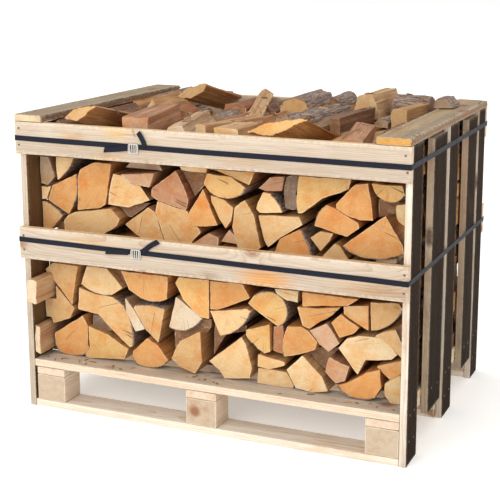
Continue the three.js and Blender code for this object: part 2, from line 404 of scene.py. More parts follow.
@dataclass(frozen=True)
class CutEnd(Finish):
    """A log's sawn end: rings, rays, drying cracks, and a warm heart in paler sapwood."""

    name: str = "log_cut_end"

    def build(self) -> bpy.types.Material:
        """Makes the material."""
        material, r, shader = self.start()
        grain = r.attribute("grain", "Vector")
        tint = r.attribute("tint", "Color")
        rings = Effect.use(r, "growth_rings", {"Grain": grain, "Spacing": 0.0034, "Wander": 0.009})
        heart = Effect.use(r, "patina", {"Grain": grain, "Size": 15.0, "Least": 0.46, "Most": 0.66})
        dust = Effect.use(r, "patina", {"Grain": r.scaled(grain, (1.7, 1.7, 1.7)), "Size": 34.0,
                                        "Least": 0.5, "Most": 0.8})
        wear = Effect.use(r, "worn_arris", {"Grain": grain, "Arris": r.attribute("arris", "Fac")})
        shade = r.blended(r.math("MULTIPLY", heart["Patch"], 0.6), tint,
                          r.blended(1.0, tint, hex_colour("f0d4ae"), "MULTIPLY"))
        shade = r.blended(r.math("MULTIPLY", rings["Ring"], 0.3), shade,
                          r.blended(1.0, shade, hex_colour("ccae8c"), "MULTIPLY"))
        shade = r.blended(r.ranged(rings["Ray"], 0.4, 0.7, 0.0, 0.3), shade,
                          r.blended(1.0, shade, hex_colour("dcc0a0"), "MULTIPLY"))
        warm = Effect.use(r, "patina", {"Grain": r.scaled(grain, (0.6, 0.6, 0.6)), "Size": 26.0,
                                        "Least": 0.5, "Most": 0.66})
        shade = r.blended(r.math("MULTIPLY", warm["Patch"], 0.65), shade,
                          r.blended(1.0, tint, hex_colour("f6c27c"), "MULTIPLY"))
        speckle = r.cloud(grain, 330.0, 3.0, 0.7)
        shade = r.blended(r.ranged(speckle, 0.4, 0.7, 0.0, 0.4), shade,
                          r.blended(1.0, shade, hex_colour("cdb094"), "MULTIPLY"))
        shade = r.blended(r.math("MULTIPLY", dust["Patch"], 0.35), shade, hex_colour("d2bb99"))
        flat = r.scaled(grain, (1, 1, 0))
        aim = r.add("ShaderNodeVectorMath", {0: flat}, operation="NORMALIZE").outputs[0]
        line = r.math("ABSOLUTE", r.math("SUBTRACT", r.cloud(aim, 1.7, 1.0), 0.5))
        reach = r.ranged(r.cloud(grain, 14.0, 1.0), 0.54, 0.64)
        crack = r.math("MULTIPLY", r.ranged(line, 0.002, 0.007, 1.0, 0.0), reach)
        shade = r.blended(r.math("MULTIPLY", crack, 0.75), shade, hex_colour("6b4328"))
        shade = r.blended(r.math("MULTIPLY", wear["Wear"], 0.8), shade, hex_colour("f0dfc0"))
        kerf = r.cloud(r.scaled(grain, (24, 520, 24)), 1.0, 1.0)
        fuzz = r.cloud(grain, 900.0, 2.0, 0.7)
        height = r.math("ADD", r.math("MULTIPLY", kerf, 0.5), r.math("MULTIPLY", fuzz, 0.4))
        height = r.math("ADD", height, r.math("MULTIPLY", rings["Ring"], 0.3))
        height = r.math("SUBTRACT", height, r.math("MULTIPLY", crack, 1.6))
        connect(r, shader, Base_Color=shade, Roughness=r.ranged(fuzz, 0.3, 0.7, 0.7, 0.92),
                Normal=r.bump(height, 0.0009))
        return material


@dataclass(frozen=True)
class SplitFace(Finish):
    """A log's torn side, with long fibres and brown bands."""

    name: str = "log_split_face"

    def build(self) -> bpy.types.Material:
        """Makes the material."""
        material, r, shader = self.start()
        grain = r.attribute("grain", "Vector")
        tint = r.attribute("tint", "Color")
        streaks = Effect.use(r, "fibres", {"Grain": grain, "Fineness": 260.0})
        stain = Effect.use(r, "patina", {"Grain": grain, "Size": 16.0, "Least": 0.42, "Most": 0.72})
        wear = Effect.use(r, "worn_arris", {"Grain": grain, "Arris": r.attribute("arris", "Fac")})
        shade = r.blended(1.0, tint, hex_colour("ecd9c4"), "MULTIPLY")
        shade = r.blended(r.ranged(streaks["Band"], 0.38, 0.66, 0.0, 0.7), shade,
                          r.blended(1.0, shade, hex_colour("cbab8e"), "MULTIPLY"))
        shade = r.blended(r.math("MULTIPLY", stain["Patch"], 0.5), shade,
                          r.blended(1.0, shade, hex_colour("c6a78e"), "MULTIPLY"))
        shade = r.blended(r.ranged(streaks["Streak"], 0.35, 0.68, 0.0, 0.5), shade,
                          r.blended(1.0, shade, hex_colour("b9997e"), "MULTIPLY"))
        shade = r.blended(r.math("MULTIPLY", wear["Wear"], 0.12), shade, hex_colour("e9cfa4"))
        height = r.math("ADD", r.math("MULTIPLY", streaks["Streak"], 1.0),
                        r.math("MULTIPLY", streaks["Band"], 0.8))
        connect(r, shader, Base_Color=shade, Roughness=r.ranged(streaks["Streak"], 0.3, 0.7, 0.62, 0.9),
                Normal=r.bump(height, 0.0022))
        return material


@dataclass(frozen=True)
class Bark(Finish):
    """Grey-brown bark in ridged plates, with a purple cast and pale flakes."""

    name: str = "log_bark"

    def build(self) -> bpy.types.Material:
        """Makes the material."""
        material, r, shader = self.start()
        grain = r.attribute("grain", "Vector")
        plates = Effect.use(r, "bark_plates", {"Grain": grain, "Scale": 130.0})
        moss = Effect.use(r, "patina", {"Grain": grain, "Size": 20.0, "Least": 0.5, "Most": 0.68})
        lichen = Effect.use(r, "patina", {"Grain": r.scaled(grain, (1.9, 1.9, 1.9)), "Size": 48.0,
                                          "Least": 0.58, "Most": 0.66})
        wear = Effect.use(r, "worn_arris", {"Grain": grain, "Arris": r.attribute("arris", "Fac")})
        shade = r.blended(r.ranged(plates["Plate"], 0.3, 0.7), hex_colour("75625a"), hex_colour("b09e92"))
        shade = r.blended(r.math("MULTIPLY", moss["Patch"], 0.6), shade, hex_colour("8d7050"))
        shade = r.blended(r.math("MULTIPLY", lichen["Patch"], 0.7), shade, hex_colour("c3bbb2"))
        shade = r.blended(r.math("MULTIPLY", plates["Crack"], 0.5), shade, hex_colour("4a3a31"))
        shade = r.blended(r.math("MULTIPLY", wear["Wear"], 0.7), shade, hex_colour("b58a66"))
        height = r.math("SUBTRACT", r.math("MULTIPLY", plates["Plate"], 0.8), plates["Crack"])
        connect(r, shader, Base_Color=shade, Roughness=r.ranged(plates["Plate"], 0.3, 0.7, 0.95, 0.75),
                Normal=r.bump(height, 0.0032))
        return material


@dataclass(frozen=True)
class Strapping(Finish):
    """Dark blue-black plastic strap with fine ribs and scuffs."""

    name: str = "strap_band"

    def build(self) -> bpy.types.Material:
        """Makes the material."""
        material, r, shader = self.start()
        grain = r.attribute("grain", "Vector")
        scuff = Effect.use(r, "patina", {"Grain": grain, "Size": 60.0, "Least": 0.5, "Most": 0.75})
        rib = r.math("SINE",
                     r.math("MULTIPLY", r.add("ShaderNodeSeparateXYZ", {0: grain}).outputs[1], 5200.0))
        shade = r.blended(r.math("MULTIPLY", scuff["Patch"], 0.4), hex_colour("0e1222"), hex_colour("1e2439"))
        shader.inputs["Specular IOR Level"].default_value = 0.22
        connect(r, shader, Base_Color=shade, Roughness=r.ranged(scuff["Patch"], 0.0, 1.0, 0.55, 0.7),
                Normal=r.bump(rib, 0.00012))
        return material


@dataclass(frozen=True)
class Metal(Finish):
    """Dull galvanised wire or a rusty nail head."""

    name: str
    clean: str
    stained: str
    metallic: float
    least: float

    def build(self) -> bpy.types.Material:
        """Makes the material."""
        material, r, shader = self.start()
        grain = r.attribute("grain", "Vector")
        spots = Effect.use(r, "patina", {"Grain": grain, "Size": 240.0, "Least": self.least, "Most": 0.72})
        shade = r.blended(spots["Patch"], hex_colour(self.clean), hex_colour(self.stained))
        shader.inputs["Metallic"].default_value = self.metallic
        connect(r, shader, Base_Color=shade, Roughness=r.ranged(spots["Patch"], 0.0, 1.0, 0.36, 0.66),
                Normal=r.bump(spots["Patch"], 0.0001))
        return material


@dataclass(frozen=True)
class FloorPaint(Finish):
    """The plain pale floor."""

    name: str = "studio_floor"

    def build(self) -> bpy.types.Material:
        """Makes the material."""
        material, r, shader = self.start()
        place = r.add("ShaderNodeTexCoord").outputs["Object"]
        shade = r.blended(r.cloud(place, 1.5), hex_colour("f7f6f3"), hex_colour("fbfaf8"))
        shader.inputs["Roughness"].default_value = 0.9
        shader.inputs["Emission Strength"].default_value = 0.3
        connect(r, shader, Base_Color=shade, Emission_Color=shade)
        return material


# ---- Meshes ------------------------------------------------------------------------------------
class Draft:
    """Gathers vertices and faces of one piece, with what its finishes read at each vertex."""

    SHARP = math.radians(38)

    def __init__(self) -> None:
        """Starts empty."""
        self.points: list[Sequence[float]] = []
        self.grain: list[Sequence[float]] = []
        self.tint: list[Colour] = []
        self.arris: list[float] = []
        self.faces: list[tuple[int, ...]] = []
        self.finish: list[int] = []

    def vertex(self, point: Sequence[float], grain: Sequence[float], tint: Colour, arris: float = 0.0) -> int:
        """Adds one vertex and returns its number."""
        self.points.append(tuple(point))
        self.grain.append(tuple(grain))
        self.tint.append(tint)
        self.arris.append(arris)
        return len(self.points) - 1

    def face(self, corners: Iterable[int], finish: int = 0) -> None:
        """Adds one face with the number of its finish."""
        self.faces.append(tuple(corners))
        self.finish.append(finish)

    def bridge(self, first: Sequence[int], second: Sequence[int], finishes: Sequence[int]) -> None:
        """Joins two rings of as many vertices, side by side."""
        count = len(first)
        for i in range(count):
            j = (i + 1) % count
            self.face((first[i], first[j], second[j], second[i]), finishes[i])

    def fan(self, ring: Sequence[int], centre: int, finish: int) -> None:
        """Closes a ring towards one vertex."""
        for i, corner in enumerate(ring):
            self.face((corner, ring[(i + 1) % len(ring)], centre), finish)

    def piece(self, name: str, materials: Sequence[bpy.types.Material], slot: str,
              replaces: Sequence[str] = ()) -> bpy.types.Object:
        """Makes the object and puts it on the frame.

        Args:
            name: the piece's name.
            materials: one for each finish number.
            slot: not used.
            replaces: the CAD nodes that it stands for.

        Returns:
            The object.
        """
        mesh = bpy.data.meshes.new(name)
        mesh.from_pydata(self.points, [], self.faces)
        for material in materials:
            mesh.materials.append(material)
        mesh.polygons.foreach_set("material_index", self.finish)
        mesh.polygons.foreach_set("use_smooth", [True] * len(self.faces))
        mesh.attributes.new("grain", "FLOAT_VECTOR", "POINT").data.foreach_set(
            "vector", np.array(self.grain, np.float32).ravel())
        colours = np.array([(*c, 1.0) for c in self.tint], np.float32)
        mesh.attributes.new("tint", "FLOAT_COLOR", "POINT").data.foreach_set("color", colours.ravel())
        mesh.attributes.new("arris", "FLOAT", "POINT").data.foreach_set(
            "value", np.array(self.arris, np.float32))
        shape = bmesh.new()
        shape.from_mesh(mesh)
        bmesh.ops.recalc_face_normals(shape, faces=shape.faces)
        shape.to_mesh(mesh)
        shape.free()
        mesh.set_sharp_from_angle(angle=self.SHARP)
        mesh.validate()
        piece = bpy.data.objects.new(name, mesh)
        bpy.context.scene.collection.objects.link(piece)
        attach(piece, "root")
        if replaces:
            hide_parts(*replaces)
        reporter.info("%s: %d faces", name, len(mesh.polygons))
        return piece


@dataclass
class WoodForm:
    """A length of wood between two end outlines that have as many corners.

    The outlines go round the same way. Sides are counted from their first corner.
    """

    near: np.ndarray
    far: np.ndarray
    seed: int
    tone: Colour
    spacing: float = 10 * MM
    step: float = 40 * MM
    chamfer: float = 1.4 * MM
    end_rings: int = 4
    rim: float = 0.045
    pith: Corner = (0.0, 0.0)
    axis: np.ndarray = field(init=False)
    side: np.ndarray = field(init=False)
    rise: np.ndarray = field(init=False)
    length: float = field(init=False)
    draw: random.Random = field(init=False)

    def __post_init__(self) -> None:
        """Works out the direction of the grain and the two directions across it."""
        self.draw = random.Random(self.seed)
        run = self.far.mean(0) - self.near.mean(0)
        self.length = float(np.linalg.norm(run))
        self.axis = run / self.length
        up = np.array((0.0, 0.0, 1.0)) if abs(self.axis[2]) < 0.7 else np.array((0.0, 1.0, 0.0))
        self.side = np.cross(self.axis, up)
        self.side /= np.linalg.norm(self.side)
        self.rise = np.cross(self.side, self.axis)
        self.start = self.near.mean(0)
        flat = self.flattened(self.near)
        area = sum(x0 * y1 - x1 * y0 for (x0, y0), (x1, y1) in zip(flat, np.roll(flat, -1, 0)))
        self.turn = 1.0 if area > 0 else -1.0

    def flattened(self, points: np.ndarray) -> np.ndarray:
        """The points' two places across the grain, counted from the near end's middle."""
        return np.stack([(points - self.start) @ self.side, (points - self.start) @ self.rise], -1)

    def grain_at(self, point: np.ndarray) -> tuple[float, float, float]:
        """A point's place in the wood, counted from the pith."""
        offset = point - self.start
        return (float(offset @ self.side) - self.pith[0], float(offset @ self.rise) - self.pith[1],
                float(offset @ self.axis) + 0.73 * (self.seed % 97))

    def stations(self) -> list[tuple[int, float, float]]:
        """Side, share along it and arris weight of each point round the outline."""
        found = []
        count = len(self.near)
        for i in range(count):
            span = float(np.linalg.norm(self.near[(i + 1) % count] - self.near[i]))
            cut = min(0.3, self.chamfer / span)
            inner = max(1, round(span / self.spacing))
            found.append((i, cut, 1.0))
            found += [(i, k / inner, 0.0) for k in range(1, inner) if cut * 1.5 < k / inner < 1 - 1.5 * cut]
            found.append((i, 1 - cut, 1.0))
        return found

    def lengths(self) -> list[float]:
        """How far along each section stands: close together at the ends, then at even steps."""
        lip = 1.2 * MM
        steps = max(2, round(self.length / self.step))
        middle = [self.length * k / steps for k in range(1, steps)]
        return [0.0, lip, 8 * MM] + [m for m in middle if 14 * MM < m < self.length - 14 * MM] + [
            self.length - 8 * MM, self.length - lip, self.length]

    def relief(self, side: int, share: float, along: float, place: np.ndarray) -> float:
        """How far out a point stands from the flat side, in metres."""
        raise NotImplementedError

    def side_finish(self, side: int) -> int:
        """The number of a side's finish."""
        return 0

    def end_finish(self) -> int:
        """The number of the ends' finish."""
        return 0

    def rim_finish(self, side: int) -> int:
        """The number of the finish of the narrow rim round an end."""
        return self.end_finish()

    def side_tint(self, side: int, share: float, along: float, place: np.ndarray) -> Colour:
        """The colour of a side at a point."""
        return self.tone

    def end_tint(self) -> Colour:
        """The colour of the ends."""
        return self.tone

    def end_shift(self, flat: np.ndarray, far: bool) -> float:
        """How far a point of an end stands in from the flat cut, in metres."""
        return 0.0

    def centre_of(self, ring: np.ndarray) -> np.ndarray:
        """A point from which the whole ring is seen, so that its cap doesn't fold."""
        flat = self.flattened(ring)
        after = np.roll(flat, -1, 0)
        run = after - flat
        spans = np.linalg.norm(run, axis=1)
        run, flat = run[spans > 1e-6], flat[spans > 1e-6]
        run /= np.linalg.norm(run, axis=1)[:, None]
        low, high = flat.min(0), flat.max(0)
        choices = [flat.mean(0)] + [low + (high - low) * (i / 12, j / 12)
                                    for i in range(1, 12) for j in range(1, 12)]
        def margin(place: np.ndarray) -> float:
            """The least distance inside any side's line."""
            gap = place - flat
            return float((self.turn * (run[:, 0] * gap[:, 1] - run[:, 1] * gap[:, 0])).min())
        best = max(choices, key=margin)
        spot = self.flattened(ring.mean(0)[None])[0]
        return ring.mean(0) + self.side * (best[0] - spot[0]) + self.rise * (best[1] - spot[1])

    def add_to(self, draft: Draft) -> None:
        """Builds the form into a draft."""
        stations = self.stations()
        count = len(self.near)
        finishes = [self.side_finish(side) for side, _, _ in stations]
        first_ring: list[int] = []
        last_ring: list[int] = []
        rows = self.lengths()
        previous: list[int] = []
        for row, along in enumerate(rows):
            t = along / self.length
            ring = []
            at_end = row in (0, len(rows) - 1)
            for side, share, arris in stations:
                a = self.near[side] * (1 - t) + self.far[side] * t
                b = self.near[(side + 1) % count] * (1 - t) + self.far[(side + 1) % count] * t
                run = b - a
                out = np.cross(self.axis, run) * self.turn
                out /= np.linalg.norm(out) or 1.0
                place = a + run * share
                shift = self.relief(side, share, along, place) - (1.0 * MM if at_end else 0.0)
                place = place + out * shift
                flat = self.flattened(place[None])[0]
                blend = max(0.0, 1 - min(along, self.length - along) / (60 * MM))
                place = place + self.axis * self.end_shift(flat, t > 0.5) * blend * (1 if t < 0.5 else -1)
                worn = 1.0 if at_end or row in (1, len(rows) - 2) else arris
                ring.append(draft.vertex(place, self.grain_at(place),
                                         self.side_tint(side, share, along, place), worn))
            if previous:
                draft.bridge(previous, ring, finishes)
            else:
                first_ring = ring
            previous = ring
        last_ring = previous
        for ring, far in ((first_ring, False), (last_ring, True)):
            self.close_end(draft, ring, far)

    def close_end(self, draft: Draft, ring: Sequence[int], far: bool) -> None:
        """Closes one end with rings that shrink to a point."""
        rim = np.array([draft.points[i] for i in ring])
        centre = self.centre_of(rim)
        inward = self.axis * (-1 if far else 1)
        middle = self.flattened(centre[None])[0]
        plain = centre - inward * float((centre - rim.mean(0)) @ inward)
        centre = plain + inward * (self.end_shift(middle, far) - self.mean_shift(rim, far))
        outer = list(ring)
        shares = [self.rim] + [(k / self.end_rings) ** 1.3 for k in range(1, self.end_rings)]
        for k, share in enumerate(shares):
            inner = []
            for point in rim:
                place = point * (1 - share) + centre * share
                dent = 0.35 * MM * wobble(*(place * 160)) * (1 if k else 0)
                place = place + inward * dent
                inner.append(draft.vertex(place, self.grain_at(place), self.end_tint()))
            finishes = [self.end_finish() if k else self.rim_finish(side) for side, _, _ in self.stations()]
            draft.bridge(outer, inner, finishes)
            outer = inner
        tip = draft.vertex(centre, self.grain_at(centre), self.end_tint())
        draft.fan(outer, tip, self.end_finish())

    def mean_shift(self, rim: np.ndarray, far: bool) -> float:
        """The ends' average inset, so that the cap's centre lies in the same tilted plane."""
        return float(np.mean([self.end_shift(flat, far) for flat in self.flattened(rim)]))


@dataclass
class LogForm(WoodForm):
    """A split log: torn sides, bulging bark sides and two slightly skewed saw cuts."""

    END, SPLIT, BARK = 0, 1, 2
    bark: frozenset[int] = frozenset()
    bulge: float = 0.07
    inset: float = 1.2 * MM
    roughness: float = 1.0
    skew: float = 0.05

    def __post_init__(self) -> None:
        """Draws the log's own irregularities."""
        super().__post_init__()
        r = self.draw
        self.tilt = [(r.uniform(-self.skew, self.skew), r.uniform(-self.skew, self.skew)) for _ in range(2)]
        self.sway = r.uniform(0, 60)
        flat = self.flattened(self.near)
        if self.bark:
            count = len(flat)
            sides = [(flat[i] + flat[(i + 1) % count]) / 2 for i in self.bark]
            heart = -1.5 * np.mean(sides, 0)
        else:
            heart = flat[r.randrange(len(flat))] * r.uniform(1.0, 1.9)
        self.pith = (float(heart[0]), float(heart[1]))
        light = r.uniform(0.93, 1.05)
        warm = r.uniform(-0.04, 0.04)
        red, green, blue = self.tone
        self.tone = (red * light * (1 + warm), green * light, blue * light * (1 - warm))

    def side_finish(self, side: int) -> int:
        """Bark on the bark sides, torn wood on the others."""
        return self.BARK if side in self.bark else self.SPLIT

    def end_finish(self) -> int:
        """The sawn end."""
        return self.END

    def rim_finish(self, side: int) -> int:
        """Bark seen edge on, round the sawn end."""
        return self.BARK if side in self.bark else self.END

    def end_shift(self, flat: np.ndarray, far: bool) -> float:
        """The skew of the saw cut."""
        across, up = self.tilt[int(far)]
        return float(flat[0] * across + flat[1] * up)

    def relief(self, side: int, share: float, along: float, place: np.ndarray) -> float:
        """Fibres and steps on a torn side, a swell and ridges on bark."""
        count = len(self.near)
        span = float(np.linalg.norm(self.near[(side + 1) % count] - self.near[side]))
        u, v, w = self.grain_at(place)
        if side in self.bark:
            swell = self.bulge * span * 4 * share * (1 - share)
            ridge = 1.4 * MM * wobble(u * 75, v * 75, w * 14) + 0.9 * MM * wobble(u * 180, v * 180, w * 45)
            return swell + ridge * self.roughness - self.inset
        fibre = 0.8 * MM * wobble(u * 110, v * 110, w * 5) + 1.6 * MM * wobble(u * 30, v * 30, w * 6)
        middle = 4 * share * (1 - share)
        hollow = 0.018 * span * middle * wobble(self.sway, side * 3.7, w * 4)
        return (fibre * self.roughness - self.inset) + hollow


@dataclass(frozen=True)
class Stain:
    """A soft-edged patch of another colour on a front board, in X and Z, in millimetres."""

    x: float
    z: float
    half_width: float
    half_height: float
    tone: Tone
    strength: float = 0.8

    def share_at(self, place: np.ndarray) -> float:
        """How much the patch covers a place."""
        across = (place[0] / MM - self.x) / self.half_width
        up = (place[2] / MM - self.z) / self.half_height
        return self.strength * max(0.0, 1 - math.hypot(across, up)) ** 0.7


@dataclass
class BoardForm(WoodForm):
    """A sawn board: soft arrises and a stretch of wane."""

    face_tint: Colour = (0.8, 0.7, 0.5)
    edge_tint: Colour = (0.8, 0.7, 0.5)
    cut_tint: Colour = (0.8, 0.7, 0.5)
    wane: float = 0.0
    wane_side: int = 0
    fade: float = 0.0
    stains: Sequence["Stain"] = ()

    def __post_init__(self) -> None:
        """Finds the wide sides and places the pith under the board."""
        super().__post_init__()
        spans = [np.linalg.norm(b - a) for a, b in zip(self.near, np.roll(self.near, -1, 0))]
        self.spans = [float(s) for s in spans]
        self.widest = max(self.spans)
        r = self.draw
        self.pith = (r.uniform(-0.05, 0.05), r.choice((-1, 1)) * r.uniform(0.02, 0.09))
        if abs(self.flattened(self.near)[:, 0]).max() < abs(self.flattened(self.near)[:, 1]).max():
            self.pith = (self.pith[1], self.pith[0])

    def side_tint(self, side: int, share: float, along: float, place: np.ndarray) -> Colour:
        """Wide faces and narrow edges each have their own colour, darker towards the bottom as painted shade.
        """
        tint = self.face_tint if self.spans[side] > 0.8 * self.widest else self.edge_tint
        low, high = self.near[:, 2].min(), max(self.near[:, 2].max(), self.far[:, 2].max())
        depth = (high - place[2]) / (high - low)
        # Painted shade: the colour darkens towards the board's bottom.
        light = 1 - self.fade * min(1.0, max(0.0, depth)) ** 1.4
        for stain in self.stains:
            share = stain.share_at(place)
            tint = tuple(part * (1 - share) + other * share for part, other in zip(tint, stain.tone.linear))
        return tuple(part * light for part in tint)

    def end_tint(self) -> Colour:
        """The sawn end's colour."""
        return self.cut_tint

    def relief(self, side: int, share: float, along: float, place: np.ndarray) -> float:
        """Always inward, so that boards never reach into each other."""
        u, v, w = self.grain_at(place)
        rough = (0.25 * MM * (1 + wobble(u * 90, v * 90, w * 7))
                 + 0.35 * MM * (1 + wobble(u * 14, v * 14, w * 3)))
        loss = 0.0
        near_corner = min(share if side == self.wane_side else 1.0,
                          1 - share if (side + 1) % len(self.near) == self.wane_side else 1.0)
        if self.wane and near_corner < 0.35:
            stretch = max(0.0, wobble(w * 2.1, self.seed * 0.37, 4.2) - 0.05)
            reach = min(1.0, 9 * MM * 3 / (self.spans[side] * 0.35 + 1e-6))
            loss = self.wane * stretch * (1 - near_corner / 0.35) * reach
        return -(rough + loss)


# ---- Carpentry ---------------------------------------------------------------------------------
class Run(Enum):
    """The direction in which a board's grain runs."""

    X = 0
    Y = 1
    Z = 2


@dataclass(frozen=True)
class BoardLook:
    """How one kind of board is cut and coloured."""

    run: Run
    finish: str
    face: Tone
    edge: Tone
    cut: Tone
    wane: float = 0.0
    fade: float = 0.0


@dataclass
class Carpentry:
    """The pallet, side boards, caps and slats: one detailed board for each CAD board."""

    finishes: dict[str, bpy.types.Material]
    looks: dict[str, BoardLook] = field(default_factory=lambda: {
        # Skids: face and edge in the near-white painted light tone.
        "skid": BoardLook(Run.X, "pale_pine", Tone.SKID_PAINTED_LIGHT, Tone.SKID_PAINTED_LIGHT, Tone.SAWN_WARM, 7 * MM),
        "block": BoardLook(Run.Y, "pale_pine", Tone.SAWN, Tone.SAWN_GREY, Tone.SAWN_GREY),
        "stringer": BoardLook(Run.Y, "pale_pine", Tone.SAWN_GREY, Tone.SAWN, Tone.SAWN, 5 * MM),
        "deck": BoardLook(Run.X, "pale_pine", Tone.DUSTY, Tone.SAWN, Tone.SAWN_WARM, 5 * MM),
        "post": BoardLook(Run.Z, "shaded_pine", Tone.DEEP_PAINTED_SHADE, Tone.POST_EDGE, Tone.SAWN_GREY, 6 * MM, 0.2),
        "infill": BoardLook(Run.Z, "shaded_pine", Tone.DEEP_PAINTED_SHADE, Tone.SAWN_GREY, Tone.SAWN_GREY,
                            6 * MM, 0.3),
        "cap": BoardLook(Run.Y, "grey_pine", Tone.WEATHERED, Tone.BROWN, Tone.CUT_ORANGE, 4 * MM),
        "slat": BoardLook(Run.X, "pale_pine", Tone.SLAT, Tone.SAWN_WARM, Tone.SAWN, 9 * MM, 0.14),
    })

    stains: dict[str, Sequence[Stain]] = field(default_factory=lambda: {
        "front_top_slat": (Stain(-270, 904, 60, 26, Tone.YELLOW), Stain(-300, 826, 70, 18, Tone.YELLOW, 0.6),
                           Stain(-420, 880, 44, 22, Tone.YELLOW, 0.5),
                           Stain(120, 846, 120, 18, Tone.TAN, 0.35)),
        "front_middle_slat": (Stain(202, 508, 96, 40, Tone.SAP, 1.0), Stain(30, 496, 36, 20, Tone.BROWN, 0.7),
                              Stain(-380, 560, 120, 20, Tone.YELLOW, 0.5),
                              Stain(480, 520, 90, 30, Tone.TAN, 0.4)),
        "right_cap": (Stain(560, 930, 30, 16, Tone.YELLOW, 0.5),),
    })

    def look_of(self, node: str) -> BoardLook | None:
        """The look whose name is one of the node's words, or None if the node is no board."""
        words = node.split("_")
        return next((look for word, look in self.looks.items() if word in words), None)

    def build(self) -> None:
        """Builds and dresses each board."""
        for number, node in enumerate(sorted(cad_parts)):
            look = self.look_of(node)
            if look is None:
                continue
            near, far = self.ends(node, look.run)
            cut = Tone.CUT_PALE if node == "left_cap" else look.cut
            # Left side boards take the lighter painted shade in place of the deep one, and the slat tone on
            # their front edges.
            left_lighter = look.face is Tone.DEEP_PAINTED_SHADE and node.startswith("left")
            face = Tone.LEFT_PAINTED_SHADE if left_lighter else look.face
            edge = Tone.SLAT if left_lighter else look.edge
            board = BoardForm(near=near, far=far, seed=100 + number, tone=face.linear,
                              spacing=14 * MM, step=24 * MM, face_tint=face.linear,
                              edge_tint=edge.linear, cut_tint=cut.linear,
                              wane=look.wane, wane_side=number % 4, fade=look.fade,
                              stains=self.stains.get(node, ()))
            draft = Draft()
            board.add_to(draft)
            draft.piece(f"board_{node}", [self.finishes[look.finish]], look.finish, [node])

    @staticmethod
    def ends(node: str, run: Run) -> tuple[np.ndarray, np.ndarray]:
        """The corners of a board's two ends.

        Args:
            node: the CAD board.
            run: the direction of its grain.

        Returns:
            Four corners of the near end and of the far end, going round the same way.
        """
        low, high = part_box(node)
        first, second = [axis for axis in range(3) if axis != run.value]
        ends = []
        for place in (low[run.value], high[run.value]):
            corners = np.zeros((4, 3))
            corners[:, run.value] = place
            corners[:, first] = (low[first], high[first], high[first], low[first])
            corners[:, second] = (low[second], low[second], high[second], high[second])
            ends.append(corners)
        return ends[0], ends[1]


# ---- Logs --------------------------------------------------------------------------------------
@dataclass(frozen=True)
class Split:
    """One log of a rank, seen end on: x from the crate's left face and z, in millimetres.

    Bark sides are counted from their first corner. A log may stand back from the others.
    """

    tone: Tone
    corners: Sequence[Corner]
    bark: tuple[int, ...] = ()
    back: float = 0.0
